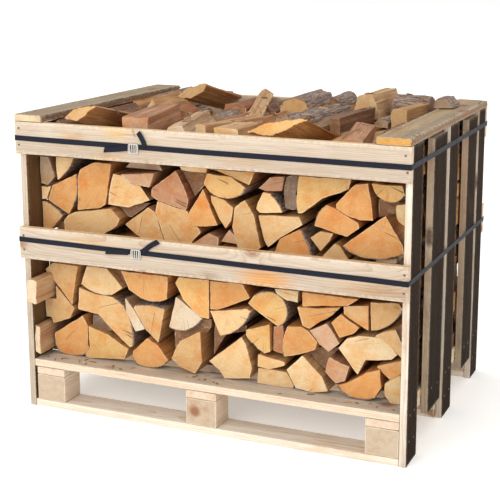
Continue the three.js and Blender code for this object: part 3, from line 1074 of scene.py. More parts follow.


# The BROWN logs stand 26 to 40 mm back in the gaps; their dark brown is painted shade of those recesses.
LOWER_LOGS = (
    Split(Tone.TAN, [(30, 434), (60, 458), (155, 458), (128, 330), (70, 394)]),
    Split(Tone.TAN, [(27, 341), (69, 341), (70, 384), (135, 318), (118, 283), (52, 258), (48, 278),
                     (27, 278)]),
    Split(Tone.CREAM, [(180, 457), (250, 457), (303, 400), (265, 374), (225, 371), (158, 397)], (3, 4)),
    Split(Tone.TAN, [(148, 385), (205, 370), (270, 364), (310, 335), (335, 270), (337, 215), (325, 212),
                     (265, 260), (215, 305), (145, 315)], (2, 3, 4)),
    Split(Tone.ORANGE, [(55, 225), (160, 295), (178, 262), (175, 200), (182, 190), (160, 165), (112, 158),
                        (75, 160), (55, 185)], (4, 5, 6, 7)),
    Split(Tone.YELLOW, [(180, 263), (250, 244), (322, 205), (308, 170), (175, 158), (167, 168), (184, 195)]),
    Split(Tone.BARK, [(190, 262), (192, 298), (225, 294), (262, 258), (240, 250)], (0, 1, 2, 3), 12),
    Split(Tone.WHITISH, [(314, 368), (345, 335), (383, 280), (350, 268), (318, 325)], (), 4),
    Split(Tone.TAN, [(346, 342), (350, 352), (455, 352), (440, 290), (428, 242), (388, 277)], (1,)),
    Split(Tone.ORANGE, [(393, 252), (430, 235), (466, 190), (430, 164), (395, 158), (357, 162), (337, 185),
                        (342, 205)], (2, 3, 4, 5)),
    Split(Tone.BROWN, [(252, 457), (303, 457), (326, 402), (306, 402)], (), 35),
    Split(Tone.ORANGE, [(306, 457), (468, 457), (464, 385), (435, 374), (375, 376), (331, 400)], (3,)),
    Split(Tone.YELLOW, [(490, 437), (500, 457), (600, 457), (600, 337), (575, 340), (545, 361), (515, 388)]),
    Split(Tone.WHITISH, [(490, 393), (548, 355), (577, 333), (520, 289), (466, 295)], (2, 3)),
    Split(Tone.TAN, [(576, 298), (580, 200), (555, 160), (515, 170), (473, 197), (505, 258)]),
    Split(Tone.BROWN, [(470, 290), (505, 284), (572, 326), (598, 330), (596, 300), (580, 302), (502, 262),
                       (476, 214)], (), 30),
    Split(Tone.ORANGE, [(606, 457), (710, 457), (733, 417), (628, 369), (606, 369)]),
    Split(Tone.CREAM, [(607, 364), (725, 385), (740, 378), (705, 325), (640, 290)], (2, 3)),
    Split(Tone.BROWN, [(604, 350), (634, 288), (704, 300), (704, 318), (640, 284), (600, 214), (600, 300)],
          (), 40),
    Split(Tone.CREAM, [(712, 298), (725, 278), (746, 205), (738, 172), (655, 159), (637, 183), (602, 207)]),
    Split(Tone.YELLOW, [(730, 402), (750, 430), (800, 446), (835, 432), (853, 395), (848, 360), (825, 340),
                        (800, 355), (765, 377)], (1, 2, 3, 4, 5)),
    Split(Tone.YELLOW, [(725, 320), (800, 346), (804, 264), (785, 257), (750, 280), (724, 303)], (3, 4)),
    Split(Tone.REDDISH, [(809, 338), (838, 345), (838, 300), (843, 258), (808, 264)], (1, 2), 14),
    Split(Tone.CREAM, [(765, 250), (850, 238), (850, 228), (800, 209), (762, 211)]),
    Split(Tone.CREAM, [(762, 206), (800, 206), (853, 203), (876, 165), (875, 158), (760, 158)]),
    Split(Tone.PALE, [(815, 457), (890, 457), (888, 422), (852, 426)], (3,)),
    Split(Tone.ORANGE, [(903, 457), (1075, 457), (1045, 434), (905, 414)]),
    Split(Tone.ORANGE, [(889, 411), (950, 414), (1020, 427), (962, 378), (925, 350), (904, 355)], (2,)),
    Split(Tone.ORANGE, [(858, 349), (905, 352), (925, 344), (953, 312), (948, 290), (905, 272), (847, 255),
                        (842, 300)], (6,)),
    Split(Tone.PINK, [(980, 372), (928, 345), (958, 307), (985, 288), (1020, 318), (1000, 350)]),
    Split(Tone.BROWN, [(905, 267), (952, 286), (983, 282), (1012, 296), (992, 276), (978, 254), (970, 216)],
          (), 35),
    Split(Tone.ORANGE, [(992, 376), (1022, 406), (1045, 390), (1078, 372), (1060, 352), (1018, 332)]),
    Split(Tone.TAN, [(1028, 428), (1103, 438), (1104, 364), (1080, 376), (1045, 396), (1030, 406)]),
    Split(Tone.TAN, [(1108, 450), (1190, 455), (1203, 438), (1165, 388), (1112, 364)], (2, 3)),
    Split(Tone.TAN, [(1187, 381), (1208, 335), (1208, 298), (1157, 347), (1124, 352), (1150, 368)]),
    Split(Tone.PALE, [(1015, 302), (1040, 333), (1075, 346), (1145, 348), (1190, 303), (1172, 286),
                      (1096, 275), (1073, 229)]),
    Split(Tone.PALE, [(905, 265), (968, 210), (988, 168), (940, 158), (885, 163), (855, 215)]),
    Split(Tone.PINK, [(990, 271), (1050, 250), (1036, 205), (1008, 194), (976, 225), (981, 255)]),
    Split(Tone.ORANGE, [(1143, 257), (1148, 205), (1130, 170), (1080, 159), (1040, 165), (1012, 189),
                        (1045, 201), (1100, 240)], (2, 3, 4)),
    Split(Tone.TAN, [(1203, 288), (1208, 255), (1175, 225), (1132, 262)]),
    Split(Tone.CREAM, [(1157, 215), (1203, 248), (1208, 158), (1175, 158), (1156, 180)]),
    Split(Tone.BROWN, [(28, 462), (62, 462), (52, 436), (28, 430)], (), 26),
    Split(Tone.BROWN, [(27, 160), (56, 160), (50, 196), (27, 204)], (), 26),
)
# Here too the BROWN logs set back in the gaps carry painted shade.
UPPER_LOGS = (
    Split(Tone.GREY, [(30, 797), (60, 797), (80, 737), (52, 707), (28, 712)]),
    Split(Tone.CREAM, [(80, 797), (145, 797), (102, 738), (86, 724), (81, 760)], (1,)),
    Split(Tone.PALE, [(28, 701), (48, 699), (62, 704), (46, 662), (28, 660)]),
    Split(Tone.ORANGE, [(155, 750), (158, 715), (140, 647), (123, 619), (50, 660), (68, 707)], (0, 1)),
    Split(Tone.TAN, [(27, 652), (45, 651), (99, 613), (55, 567), (27, 567)], (1,)),
    Split(Tone.ORANGE, [(162, 745), (170, 765), (220, 790), (282, 790), (264, 702), (255, 662), (235, 649),
                        (154, 635)]),
    Split(Tone.CREAM, [(284, 760), (340, 733), (406, 685), (335, 658), (262, 661), (268, 705)]),
    Split(Tone.PINK, [(314, 760), (430, 772), (413, 728), (346, 735)]),
    Split(Tone.GREY, [(318, 778), (335, 797), (430, 797), (440, 776)], (), 16),
    Split(Tone.TAN, [(125, 619), (150, 630), (280, 652), (310, 622), (299, 600), (245, 567), (107, 567),
                     (106, 600)]),
    Split(Tone.BROWN, [(285, 654), (336, 652), (396, 672), (330, 622), (314, 626)], (), 30),
    Split(Tone.TAN, [(399, 664), (322, 605), (375, 567), (453, 567), (438, 610), (424, 650)]),
    Split(Tone.REDDISH, [(500, 785), (543, 702), (533, 669), (437, 690), (415, 702), (420, 727)]),
    Split(Tone.TAN, [(435, 686), (532, 665), (548, 645), (578, 605), (545, 567), (457, 567), (443, 610),
                     (427, 652)]),
    Split(Tone.PALE, [(508, 797), (598, 797), (596, 784), (514, 786)], (), 10),
    Split(Tone.BROWN, [(505, 782), (594, 778), (586, 748), (546, 706)], (), 28),
    Split(Tone.ORANGE, [(589, 736), (636, 632), (598, 623), (555, 622), (534, 650)]),
    Split(Tone.YELLOW, [(603, 783), (680, 779), (728, 750), (714, 728), (655, 714), (615, 726), (592, 752)],
          (2, 3, 4)),
    Split(Tone.TAN, [(692, 690), (725, 714), (753, 672), (773, 578), (762, 567), (700, 567), (682, 630),
                     (687, 655)]),
    Split(Tone.TAN, [(612, 720), (658, 709), (687, 689), (680, 650), (662, 624), (640, 655), (616, 700)]),
    Split(Tone.PINK, [(602, 603), (634, 592), (631, 567), (550, 567)]),
    Split(Tone.PINK, [(668, 618), (688, 600), (691, 577), (639, 580)], (), 8),
    Split(Tone.CREAM, [(782, 741), (805, 738), (843, 688), (770, 680), (760, 692), (765, 712)], (1,)),
    Split(Tone.CREAM, [(763, 672), (888, 677), (900, 655), (830, 609), (796, 580), (787, 590), (772, 640)]),
    Split(Tone.REDDISH, [(765, 752), (800, 785), (843, 790), (838, 748), (790, 746)]),
    Split(Tone.TAN, [(610, 797), (752, 797), (735, 758), (700, 778), (668, 790)]),
    Split(Tone.BARK, [(850, 790), (883, 796), (879, 745), (881, 698), (849, 700)], (0, 1, 2, 3, 4), 6),
    Split(Tone.YELLOW, [(888, 797), (1043, 797), (1038, 768), (960, 737), (900, 689), (886, 688), (884, 745)],
          (5,)),
    Split(Tone.ORANGE, [(1058, 785), (1095, 790), (1104, 745), (1111, 686), (1072, 684), (1004, 702),
                        (1002, 725)]),
    Split(Tone.BROWN, [(1116, 742), (1145, 742), (1176, 738), (1181, 694), (1152, 712), (1118, 690)], (), 34),
    Split(Tone.ORANGE, [(975, 720), (998, 713), (1070, 676), (1072, 662), (1038, 634), (938, 656),
                        (951, 695)],
          (5, 6)),
    Split(Tone.ORANGE, [(1150, 704), (1203, 625), (1206, 603), (1170, 589), (1110, 578), (1060, 585),
                        (1024, 606), (1080, 650)], (2, 3, 4, 5)),
    Split(Tone.YELLOW, [(1107, 792), (1195, 792), (1203, 765), (1178, 745), (1145, 746), (1117, 765)],
          (2, 3, 4)),
    Split(Tone.CREAM, [(1179, 736), (1208, 742), (1210, 678), (1186, 692)], (3,)),
    Split(Tone.ORANGE, [(895, 643), (913, 615), (930, 567), (814, 567), (832, 607)], (0, 1)),
    Split(Tone.TAN, [(955, 640), (993, 638), (983, 615), (957, 584), (925, 620)]),
    Split(Tone.TAN, [(998, 610), (1015, 604), (1038, 567), (962, 567)]),
    Split(Tone.PALE, [(1120, 576), (1150, 579), (1180, 583), (1180, 567), (1120, 567)], (), 6),
    Split(Tone.BROWN, [(27, 640), (50, 634), (56, 660), (27, 668)], (), 30),
    Split(Tone.BROWN, [(50, 566), (94, 566), (92, 590), (60, 588)], (), 30),
)


@dataclass
class LogRank:
    """One rank of logs, stacked end on behind the front slats or the rear ones."""

    node: str
    prefix: str
    facing: int
    seed: int
    finishes: Sequence[bpy.types.Material]
    tops: Sequence[tuple[float, float, float]]
    hidden: tuple[float, float] = (460, 563)
    top_course: float = 800
    columns: int = 6
    mid_height: float = 510
    unevenness: float = 12
    tones: tuple[Tone, ...] = (Tone.TAN, Tone.CREAM, Tone.ORANGE, Tone.PALE, Tone.PINK, Tone.YELLOW,
                               Tone.REDDISH)

    def course(self, spans: Sequence[tuple[float, float, float]], floor: float) -> list[Split]:
        """A row of logs side by side that the slats hide from the front.

        Args:
            spans: left side, right side and top of each log.
            floor: the height of their undersides.

        Returns:
            The logs.
        """
        draw = random.Random(self.seed * 7 + int(floor))
        logs = []
        for left, right, top in spans:
            lean = [draw.uniform(0, 9) for _ in range(4)]
            crest = left + (right - left) * draw.uniform(0.3, 0.7)
            corners = [(left + lean[0] / 3, floor), (right - lean[1] / 3, floor),
                       (right - lean[2], top - draw.uniform(2, 22)), (crest, top),
                       (left + lean[3], top - draw.uniform(2, 22))]
            bark = (2, 3) if draw.random() < 0.35 else ()
            logs.append(Split(draw.choice(self.tones), corners, bark, draw.uniform(0, 14)))
        return logs

    def logs(self) -> list[Split]:
        """Every log of the rank."""
        left, right = 28.0, 1216.0
        count = 10
        width = (right - left) / count
        spans = [(left + i * width + 2, left + (i + 1) * width - 2, self.hidden[1]) for i in range(count)]
        shown = list(LOWER_LOGS + UPPER_LOGS)
        if self.facing > 0:
            across = left + right
            shown = [Split(log.tone, [(across - x, z) for x, z in log.corners], log.bark, log.back)
                     for log in shown]
        return shown + self.course(spans, self.hidden[0]) + self.course(self.tops, self.top_course)

    def form(self, log: Split, number: int) -> LogForm:
        """One log's form between the rank's two ends.

        Args:
            log: the log.
            number: its place in the rank, for its own irregularities.

        Returns:
            The form.
        """
        low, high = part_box(self.node)
        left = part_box("front_top_slat")[0].x
        draw = random.Random(self.seed * 1000 + number)
        margin = 0.6 * MM
        flat = np.array([(min(max(left + x * MM, low.x + margin), high.x - margin),
                          min(max(z * MM, low.z + margin), high.z)) for x, z in log.corners])
        middle = flat.mean(0)
        back = (log.back + draw.uniform(0, self.unevenness)) * MM
        front_y = (low.y if self.facing < 0 else high.y) - self.facing * back
        rear_y = (high.y if self.facing < 0 else low.y) + self.facing * draw.uniform(1, 14) * MM
        shrunk = middle + (flat - middle) * draw.uniform(0.975, 1.0)
        near = np.array([(x, front_y, z) for x, z in flat])
        far = np.array([(x, rear_y, z) for x, z in shrunk])
        tone = log.tone
        # The rear rank draws new tones, but bark logs and the BROWN gap logs keep theirs, so the gap logs
        # keep their painted shade.
        if self.facing > 0 and not log.bark and tone is not Tone.BROWN:
            tone = draw.choice(self.tones)
        return LogForm(near=near, far=far, seed=self.seed * 1000 + number, tone=tone.linear,
                       bark=frozenset(log.bark), inset=-0.4 * MM, spacing=9 * MM, step=42 * MM)

    def build(self) -> None:
        """Builds the rank in pieces of neighbouring logs."""
        groups: dict[str, list[LogForm]] = {}
        for number, log in enumerate(self.logs()):
            x, z = np.mean(log.corners, 0)
            column = min(self.columns, 1 + int(x / 1244 * self.columns))
            level = "upper" if z > self.mid_height else "lower"
            groups.setdefault(f"{self.prefix}_logs_{level}_{column}", []).append(self.form(log, number))
        for name, forms in sorted(groups.items()):
            draft = Draft()
            for form in forms:
                form.add_to(draft)
            draft.piece(name, self.finishes, "split_wood", [self.node])


@dataclass
class LooseLog:
    """A log that lies loose: the CAD prism of the same name gives its place, size and lean."""

    node: str
    tone: Tone
    seed: int
    finishes: Sequence[bpy.types.Material]
    bark_up: bool = False
    roughness: float = 2.4
    flatten: float = 0.82
    twist: float = 7.0

    def ends(self) -> tuple[np.ndarray, np.ndarray, list[float]]:
        """Reads the prism's two ends.

        Returns:
            The near outline, the far outline with its corners in the same order, and how much
            each side faces up.
        """
        shape = bmesh.new()
        shape.from_mesh(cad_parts[self.node].data)
        bmesh.ops.remove_doubles(shape, verts=shape.verts, dist=0.02 * MM)
        bmesh.ops.dissolve_limit(shape, angle_limit=0.02, verts=shape.verts, edges=shape.edges)
        shape.normal_update()
        pairs = [(a, b) for a in shape.faces for b in shape.faces
                 if a.index < b.index and a.normal.dot(b.normal) < -0.999 and len(a.verts) == len(b.verts)]
        first, second = max(
            pairs, key=lambda p: (p[0].calc_center_median() - p[1].calc_center_median()).length)
        if first.calc_center_median().y > second.calc_center_median().y:
            first, second = second, first
        near, far, up = [], [], []
        for loop in first.loops:
            vertex = loop.vert
            near.append(tuple(vertex.co))
            onward = next(e.other_vert(vertex) for e in vertex.link_edges if first not in e.link_faces)
            far.append(tuple(onward.co))
            side = next(face for face in loop.edge.link_faces if face is not first)
            up.append(side.normal.z)
        shape.free()
        return np.array(near), np.array(far), up

    def torn(self, near: np.ndarray, far: np.ndarray,
             up: Sequence[float]) -> tuple[np.ndarray, np.ndarray, list]:
        """Breaks the wide flat sides into facets, so that the log looks split and not planed.

        Args:
            near: the near outline.
            far: the far outline.
            up: how much each side faces up.

        Returns:
            Both outlines with more corners, and how much each new side faces up.
        """
        draw = random.Random(self.seed)
        base = near[:, 2].min()
        ends: list[list[np.ndarray]] = [[], []]
        facing = []
        for i, upward in enumerate(up):
            barked = self.bark_up and upward > 0.1
            shares = (1 / 3, 2 / 3) if np.linalg.norm(near[i - len(up) + 1] - near[i]) > 36 * MM else ()
            dents = [draw.uniform(-0.04, 0.11) for _ in shares]
            shrink = draw.uniform(0.0, 0.14)
            for ring, outline in zip(ends, (near, far)):
                middle = outline.mean(0)
                corner, onward = outline[i], outline[(i + 1) % len(up)]
                ring.append(corner + (middle - corner) * shrink * (0.4 if barked else 1.0))
                for share, dent in zip(shares, dents):
                    point = corner + (onward - corner) * share
                    depth = dent * draw.uniform(0.6, 1.4) * (0.2 if barked else 1.0)
                    ring.append(point + (middle - point) * depth)
            facing += [upward] * (1 + len(shares))
        if self.bark_up:
            for ring in ends:
                for point in ring:
                    point[2] = base + (point[2] - base) * self.flatten
        else:
            ends[1] = self.twisted(np.array(ends[1]), math.radians(draw.uniform(-self.twist, self.twist)))
        return np.array(ends[0]), np.array(ends[1]), facing

    @staticmethod
    def twisted(outline: np.ndarray, angle: float) -> np.ndarray:
        """An outline turned in X and Z about its middle, with its lowest corner kept as low."""
        middle = outline.mean(0)
        across, rise = (outline - middle)[:, 0], (outline - middle)[:, 2]
        turned = outline.copy()
        turned[:, 0] = middle[0] + across * math.cos(angle) - rise * math.sin(angle)
        turned[:, 2] = middle[2] + across * math.sin(angle) + rise * math.cos(angle)
        turned[:, 2] += outline[:, 2].min() - turned[:, 2].min()
        return turned

    def build(self) -> None:
        """Builds and dresses the log."""
        near, far, up = self.torn(*self.ends())
        bark = frozenset(i for i, z in enumerate(up) if self.bark_up and z > 0.1)
        form = LogForm(near=near, far=far, seed=self.seed, tone=self.tone.linear, bark=bark,
                       spacing=5 * MM, step=14 * MM, roughness=self.roughness, bulge=0.02, skew=0.16,
                       end_rings=6)
        draft = Draft()
        form.add_to(draft)
        slot = "bark_wood" if self.bark_up else "split_wood"
        draft.piece(f"split_{self.node}", self.finishes, slot, [self.node])


@dataclass(frozen=True)
class BedLog:
    """A log half sunk in the top of the stack, in millimetres: its middle line, base and size."""

    near: tuple[float, float, float]
    far: tuple[float, float, float]
    width: float
    height: float
    tone: Tone
    bark_up: bool = False

    def form(self, seed: int) -> LogForm:
        """The log's form, with an uneven five- or six-sided section."""
        draw = random.Random(seed)
        half = self.width / 2
        crest = draw.uniform(-0.3, 0.3) * half
        if self.bark_up:
            section = [(-half, 0), (half, 0), (half, 0.55 * self.height), (0.45 * half, 0.95 * self.height),
                       (-0.3 * half, self.height), (-half, 0.5 * self.height)]
            bark = (2, 3, 4)
        else:
            section = [(-half, 0), (half, 0), (0.95 * half, draw.uniform(0.25, 0.7) * self.height),
                       (crest, self.height), (-0.9 * half, draw.uniform(0.2, 0.75) * self.height)]
            bark = ()
        ends = []
        for place in (self.near, self.far):
            size = draw.uniform(0.86, 1.0)
            ends.append(np.array([(place[0] + x * size, place[1] + draw.uniform(-7, 7), place[2] + z * size)
                                  for x, z in section]) * MM)
        return LogForm(near=ends[0], far=ends[1], seed=seed, tone=self.tone.linear, bark=frozenset(bark),
                       spacing=7 * MM, step=20 * MM, roughness=2.2, bulge=0.03, skew=0.12)


BED_LOGS = (
    BedLog((40, -215, 882), (-160, 415, 924), 62, 26, Tone.PALE),
    BedLog((-172, 165, 884), (-182, 410, 884), 88, 46, Tone.REDDISH),
    BedLog((-160, -20, 882), (-170, 158, 882), 66, 22, Tone.GREY, True),
    BedLog((150, 255, 882), (152, 415, 882), 76, 74, Tone.BROWN, True),
    BedLog((376, 60, 882), (380, 262, 882), 56, 34, Tone.GREY, True),
    # The next two BROWN logs fill the gap beside the left cap; their dark brown is painted shade.
    BedLog((-556, -418, 886), (-556, 90, 886), 74, 29, Tone.BROWN),
    BedLog((-497, -414, 886), (-495, 60, 886), 46, 40, Tone.BROWN),
    BedLog((-500, 70, 880), (-497, 300, 880), 46, 50, Tone.TAN),
    BedLog((-550, 100, 880), (-545, 415, 880), 92, 32, Tone.BARK, True),
    BedLog((-371, -48, 886), (-376, 155, 884), 74, 74, Tone.CREAM),
    BedLog((-290, -30, 884), (-292, 70, 884), 84, 52, Tone.REDDISH),
    BedLog((-315, -360, 862), (-320, -60, 862), 56, 46, Tone.BROWN),
    BedLog((366, -372, 864), (360, -145, 864), 74, 44, Tone.TAN),
    BedLog((545, -395, 886), (538, -60, 886), 94, 28, Tone.GREY),
    BedLog((540, -40, 886), (536, 410, 904), 100, 26, Tone.BARK, True),
    BedLog((8, -120, 882), (14, 160, 882), 60, 30, Tone.TAN),
    BedLog((222, -120, 882), (215, 240, 882), 48, 34, Tone.GREY),
    BedLog((-224, -70, 880), (-236, 50, 880), 66, 34, Tone.YELLOW),
    BedLog((-88, -60, 882), (-66, 150, 882), 70, 32, Tone.PINK),
    BedLog((-440, -110, 884), (-445, 150, 880), 88, 34, Tone.BROWN),
    BedLog((450, 225, 904), (452, 330, 904), 74, 34, Tone.TAN),
    BedLog((-50, 170, 884), (-46, 415, 884), 60, 44, Tone.BROWN),
    BedLog((205, 255, 884), (212, 415, 884), 40, 46, Tone.TAN),
    BedLog((-310, 372, 868), (-312, 418, 868), 76, 66, Tone.GREY, True),
    BedLog((452, -90, 884), (450, 30, 884), 80, 30, Tone.REDDISH),
)


@dataclass
class Bed:
    """The half-sunk logs between the loose ones, which only the visual model has."""

    finishes: Sequence[bpy.types.Material]
    seed: int = 700

    def build(self) -> None:
        """Builds the front and the rear ones as one piece each."""
        drafts = {"bed_logs_front": Draft(), "bed_logs_rear": Draft()}
        for number, log in enumerate(BED_LOGS):
            name = "bed_logs_front" if log.near[1] + log.far[1] < 0 else "bed_logs_rear"
            log.form(self.seed + number).add_to(drafts[name])
        for name, draft in drafts.items():
            draft.piece(name, self.finishes, "split_wood")


TOP_TONES = (Tone.TAN, Tone.PINK, Tone.WHITISH, Tone.PALE, Tone.PALE, Tone.YELLOW, Tone.PINK,
             Tone.GREY, Tone.BROWN, Tone.PALE, Tone.TAN, Tone.TAN, Tone.BROWN, Tone.TAN, Tone.GREY, Tone.GREY)
BARK_UP = (8, 12, 13, 15, 16)


# ---- Straps and small parts --------------------------------------------------------------------
@dataclass
class Band:
    """A flat band of strapping along a line of points."""

    width: float = 15.6 * MM
    thickness: float = 0.8 * MM
    tint: Colour = (0.02, 0.022, 0.035)

    def sweep(self, draft: Draft, line: Sequence[Vector], outs: Sequence[Vector], closed: bool = False,
              end_cut: float = 0.0) -> None:
        """Builds the band.

        Args:
            draft: where it goes.
            line: its centre line.
            outs: at each point, the direction that its outer face looks.
            closed: whether the last point joins the first.
            end_cut: how far the end is cut aslant, in metres.
        """
        half, thick = self.width / 2, self.thickness / 2
        soft = self.thickness * 0.3
        section = [(-half, -thick + soft), (-half + soft, -thick), (-half / 2, -thick), (half / 2, -thick),
                   (half - soft, -thick), (half, -thick + soft), (half, thick - soft), (half - soft, thick),
                   (half / 2, thick), (-half / 2, thick), (-half + soft, thick), (-half, thick - soft)]
        rings = []
        run = 0.0
        count = len(line)
        for i, (point, out) in enumerate(zip(line, outs)):
            before = line[i - 1] if i or closed else point
            after = line[(i + 1) % count] if i + 1 < count or closed else point
            ahead = (after - before).normalized()
            wide = ahead.cross(out).normalized()
            run += (point - line[i - 1]).length if i else 0.0
            slant = end_cut if i == count - 1 and not closed else 0.0
            ring = []
            for across, deep in section:
                place = point + wide * across + out * deep + ahead * (slant * across / half)
                ring.append(draft.vertex(place, (deep, across, run), self.tint))
            rings.append(ring)
        for i in range(count if closed else count - 1):
            draft.bridge(rings[i], rings[(i + 1) % count], [0] * len(section))
        if not closed:
            draft.face(rings[0])
            draft.face(reversed(rings[-1]))


@dataclass
class Strap:
    """A strap right round the crate, its heights at the four corners, and its two tails."""

    node: str
    corners: tuple[float, float, float, float]
    bow: float
    tails: Sequence[Sequence[tuple[float, float]]]
    finish: bpy.types.Material
    radius: float = 2.4 * MM
    pitch: float = 30 * MM

    def route(self) -> tuple[list[Vector], list[Vector]]:
        """The centre line, from the front left corner anticlockwise, and where its face looks."""
        low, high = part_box(self.node)
        thick = Band().thickness / 2
        xs, ys = (low.x + thick, high.x - thick), (low.y + thick, high.y - thick)
        turns = [(xs[0], ys[0], 180), (xs[1], ys[0], 270), (xs[1], ys[1], 0), (xs[0], ys[1], 90)]
        line, outs = [], []
        for i, (x, y, start) in enumerate(turns):
            nx, ny, _ = turns[(i + 1) % 4]
            inward_x, inward_y = ((self.radius if x < 0 else -self.radius),
                                  (self.radius if y < 0 else -self.radius))
            for k in range(5):
                angle = math.radians(start + 90 * k / 4)
                out = Vector((math.cos(angle), math.sin(angle), 0))
                line.append(Vector((x + inward_x, y + inward_y, self.corners[i] * MM)) + out * self.radius)
                outs.append(out)
            length = math.hypot(nx - x, ny - y)
            steps = int(length / self.pitch)
            level, onward = self.corners[i], self.corners[(i + 1) % 4]
            out = outs[-1]
            for k in range(1, steps):
                share = k / steps
                rise = self.bow * math.sin(math.pi * share) if i == 0 else 0.0
                rise += 0.8 * wobble(share * 5, i * 3.1, level * 0.01)
                height = (level + (onward - level) * share + rise) * MM
                line.append(Vector((x + (nx - x) * share, y + (ny - y) * share, height)))
                outs.append(out)
        return line, outs

    def build(self) -> None:
        """Builds the strap and its tails."""
        line, outs = self.route()
        draft = Draft()
        Band().sweep(draft, line, outs, closed=True)
        draft.piece(f"{self.node}_band", [self.finish], "strap_plastic", [self.node])
        draft = Draft()
        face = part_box(self.node)[0].y
        for number, tail in enumerate(self.tails):
            points = self.eased([Vector((x * MM, face - lift * MM, z * MM)) for x, z, lift in tail])
            ahead = (points[-1] - points[0]).normalized()
            out = Vector((0, -1, 0))
            out = (out - ahead * out.dot(ahead)).normalized()
            Band().sweep(draft, points, [out] * len(points), end_cut=(-3.0 if number else 2.0) * MM)
        draft.piece(f"{self.node}_tails", [self.finish], "strap_plastic")

    @staticmethod
    def eased(points: Sequence[Vector], steps: int = 6) -> list[Vector]:
        """A smooth line through a few points."""
        padded = [points[0] * 2 - points[1], *points, points[-1] * 2 - points[-2]]
        line = []
        for a, b, c, d in zip(padded, padded[1:], padded[2:], padded[3:]):
            for k in range(steps):
                t = k / steps
                line.append(0.5 * (2 * b + (c - a) * t + (2 * a - 5 * b + 4 * c - d) * t * t
                                   + (3 * b - a - 3 * c + d) * t ** 3))
        return line + [points[-1].copy()]


@dataclass
class WireBuckle:
    """A buckle bent from one wire: a round-cornered frame with three bars across it."""

    node: str
    finish: bpy.types.Material
    wire: float = 1.9 * MM
    corner: float = 5 * MM
    bars: tuple[float, ...] = (-0.58, -0.2, 0.2, 0.58)
    tint: Colour = (0.6, 0.6, 0.6)

    def tube(self, draft: Draft, line: Sequence[Vector], closed: bool) -> None:
        """A round wire along a line in the buckle's plane."""
        around = 10
        rings = []
        for i, point in enumerate(line):
            before = line[i - 1] if i or closed else point
            after = line[(i + 1) % len(line)] if i + 1 < len(line) or closed else point
            ahead = (after - before).normalized()
            out = Vector((0, -1, 0))
            wide = ahead.cross(out)
            ring = []
            for k in range(around):
                angle = 2 * math.pi * k / around
                place = point + (wide * math.cos(angle) + out * math.sin(angle)) * self.wire
                ring.append(draft.vertex(place, tuple(place), self.tint))
            rings.append(ring)
        for i in range(len(line) if closed else len(line) - 1):
            draft.bridge(rings[i], rings[(i + 1) % len(line)], [0] * around)
        if not closed:
            draft.face(rings[0])
            draft.face(reversed(rings[-1]))

    def build(self) -> None:
        """Builds the buckle."""
        low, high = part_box(self.node)
        centre = (low + high) / 2
        y = high.y - self.wire
        half_x, half_z = (high.x - low.x) / 2 - self.wire, (high.z - low.z) / 2 - self.wire
        loop = []
        for sx, sz, start in ((1, 1, 0), (-1, 1, 90), (-1, -1, 180), (1, -1, 270)):
            for k in range(5):
                angle = math.radians(start + 90 * k / 4)
                loop.append(Vector((centre.x + sx * (half_x - self.corner) + self.corner * math.cos(angle), y,
                                    centre.z + sz * (half_z - self.corner) + self.corner * math.sin(angle))))
        draft = Draft()
        self.tube(draft, loop, True)
        for share in self.bars:
            x = centre.x + share * half_x * 1.2
            reach = half_z - self.wire * 0.4
            line = [Vector((x, y - 0.6 * MM * math.sin(math.pi * k / 8),
                            centre.z - reach + 2 * reach * k / 8))
                    for k in range(9)]
            self.tube(draft, line, False)
        draft.piece(f"{self.node}_wire", [self.finish], "zinc_wire", [self.node])


@dataclass
class Nails:
    """Round nail heads, a little proud of the boards they hold."""

    finish: bpy.types.Material
    radius: float = 3.4 * MM
    proud: float = 0.3 * MM
    shank: float = 3 * MM
    around: int = 10

    def head(self, draft: Draft, place: Vector, out: Vector) -> None:
        """One domed head at a place on a face that looks out."""
        side = out.orthogonal().normalized()
        rise = out.cross(side)
        rings = []
        for size, height in ((1.0, -self.shank), (1.0, self.proud * 0.3), (0.8, self.proud),
                             (0.35, self.proud * 1.3)):
            ring = []
            for k in range(self.around):
                angle = 2 * math.pi * k / self.around
                point = (place + (side * math.cos(angle) + rise * math.sin(angle)) * self.radius * size
                         + out * height)
                ring.append(draft.vertex(point, tuple(point), (0.2, 0.18, 0.16)))
            rings.append(ring)
        for first, second in zip(rings, rings[1:]):
            draft.bridge(first, second, [0] * self.around)
        draft.face(reversed(rings[0]))
        draft.face(rings[-1])

    def places(self) -> list[tuple[Vector, Vector]]:
        """Where the nails are and which way each looks."""
        draw = random.Random(5)
        found = []

        def put(x: float, y: float, z: float, out: tuple[float, float, float]) -> None:
            """Adds a nail with a carpenter's small error."""
            error = [0.0 if abs(o) > 0.5 else draw.uniform(-4, 4) * MM for o in out]
            found.append((Vector((x, y, z)) + Vector(error), Vector(out)))

        for name in ("front_top_slat", "front_middle_slat", "rear_top_slat", "rear_middle_slat"):
            low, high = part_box(name)
            front = name.startswith("front")
            for x in (low.x + 12 * MM, high.x - 12 * MM):
                for share in (0.27, 0.76):
                    put(x, low.y if front else high.y, low.z + (high.z - low.z) * share,
                        (0, -1 if front else 1, 0))
        for side in ("left", "right"):
            out = -1 if side == "left" else 1
            for board in ("front_post", "front_infill", "middle_post", "rear_infill", "rear_post"):
                low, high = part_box(f"{side}_{board}")
                face = low.x if out < 0 else high.x
                for share in (0.28, 0.72):
                    y = low.y + (high.y - low.y) * share
                    put(face, y, 145 * MM, (out, 0, 0))
                    if board.endswith("post"):
                        put(face, y, 68 * MM, (out, 0, 0))
                        put((low.x + high.x) / 2, y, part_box(f"{side}_cap")[1].z, (0, 0, 1))
        deck_low, deck_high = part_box("deck_board_1")
        for column in ("left", "middle", "right"):
            low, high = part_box(f"block_front_{column}")
            for share in (0.25, 0.75):
                put(low.x + (high.x - low.x) * share, deck_low.y + 30 * MM, deck_high.z, (0, 0, 1))
        return found

    def build(self) -> None:
        """Builds every nail in one piece."""
        draft = Draft()
        for place, out in self.places():
            self.head(draft, place, out)
        draft.piece("nail_heads", [self.finish], "zinc_wire")


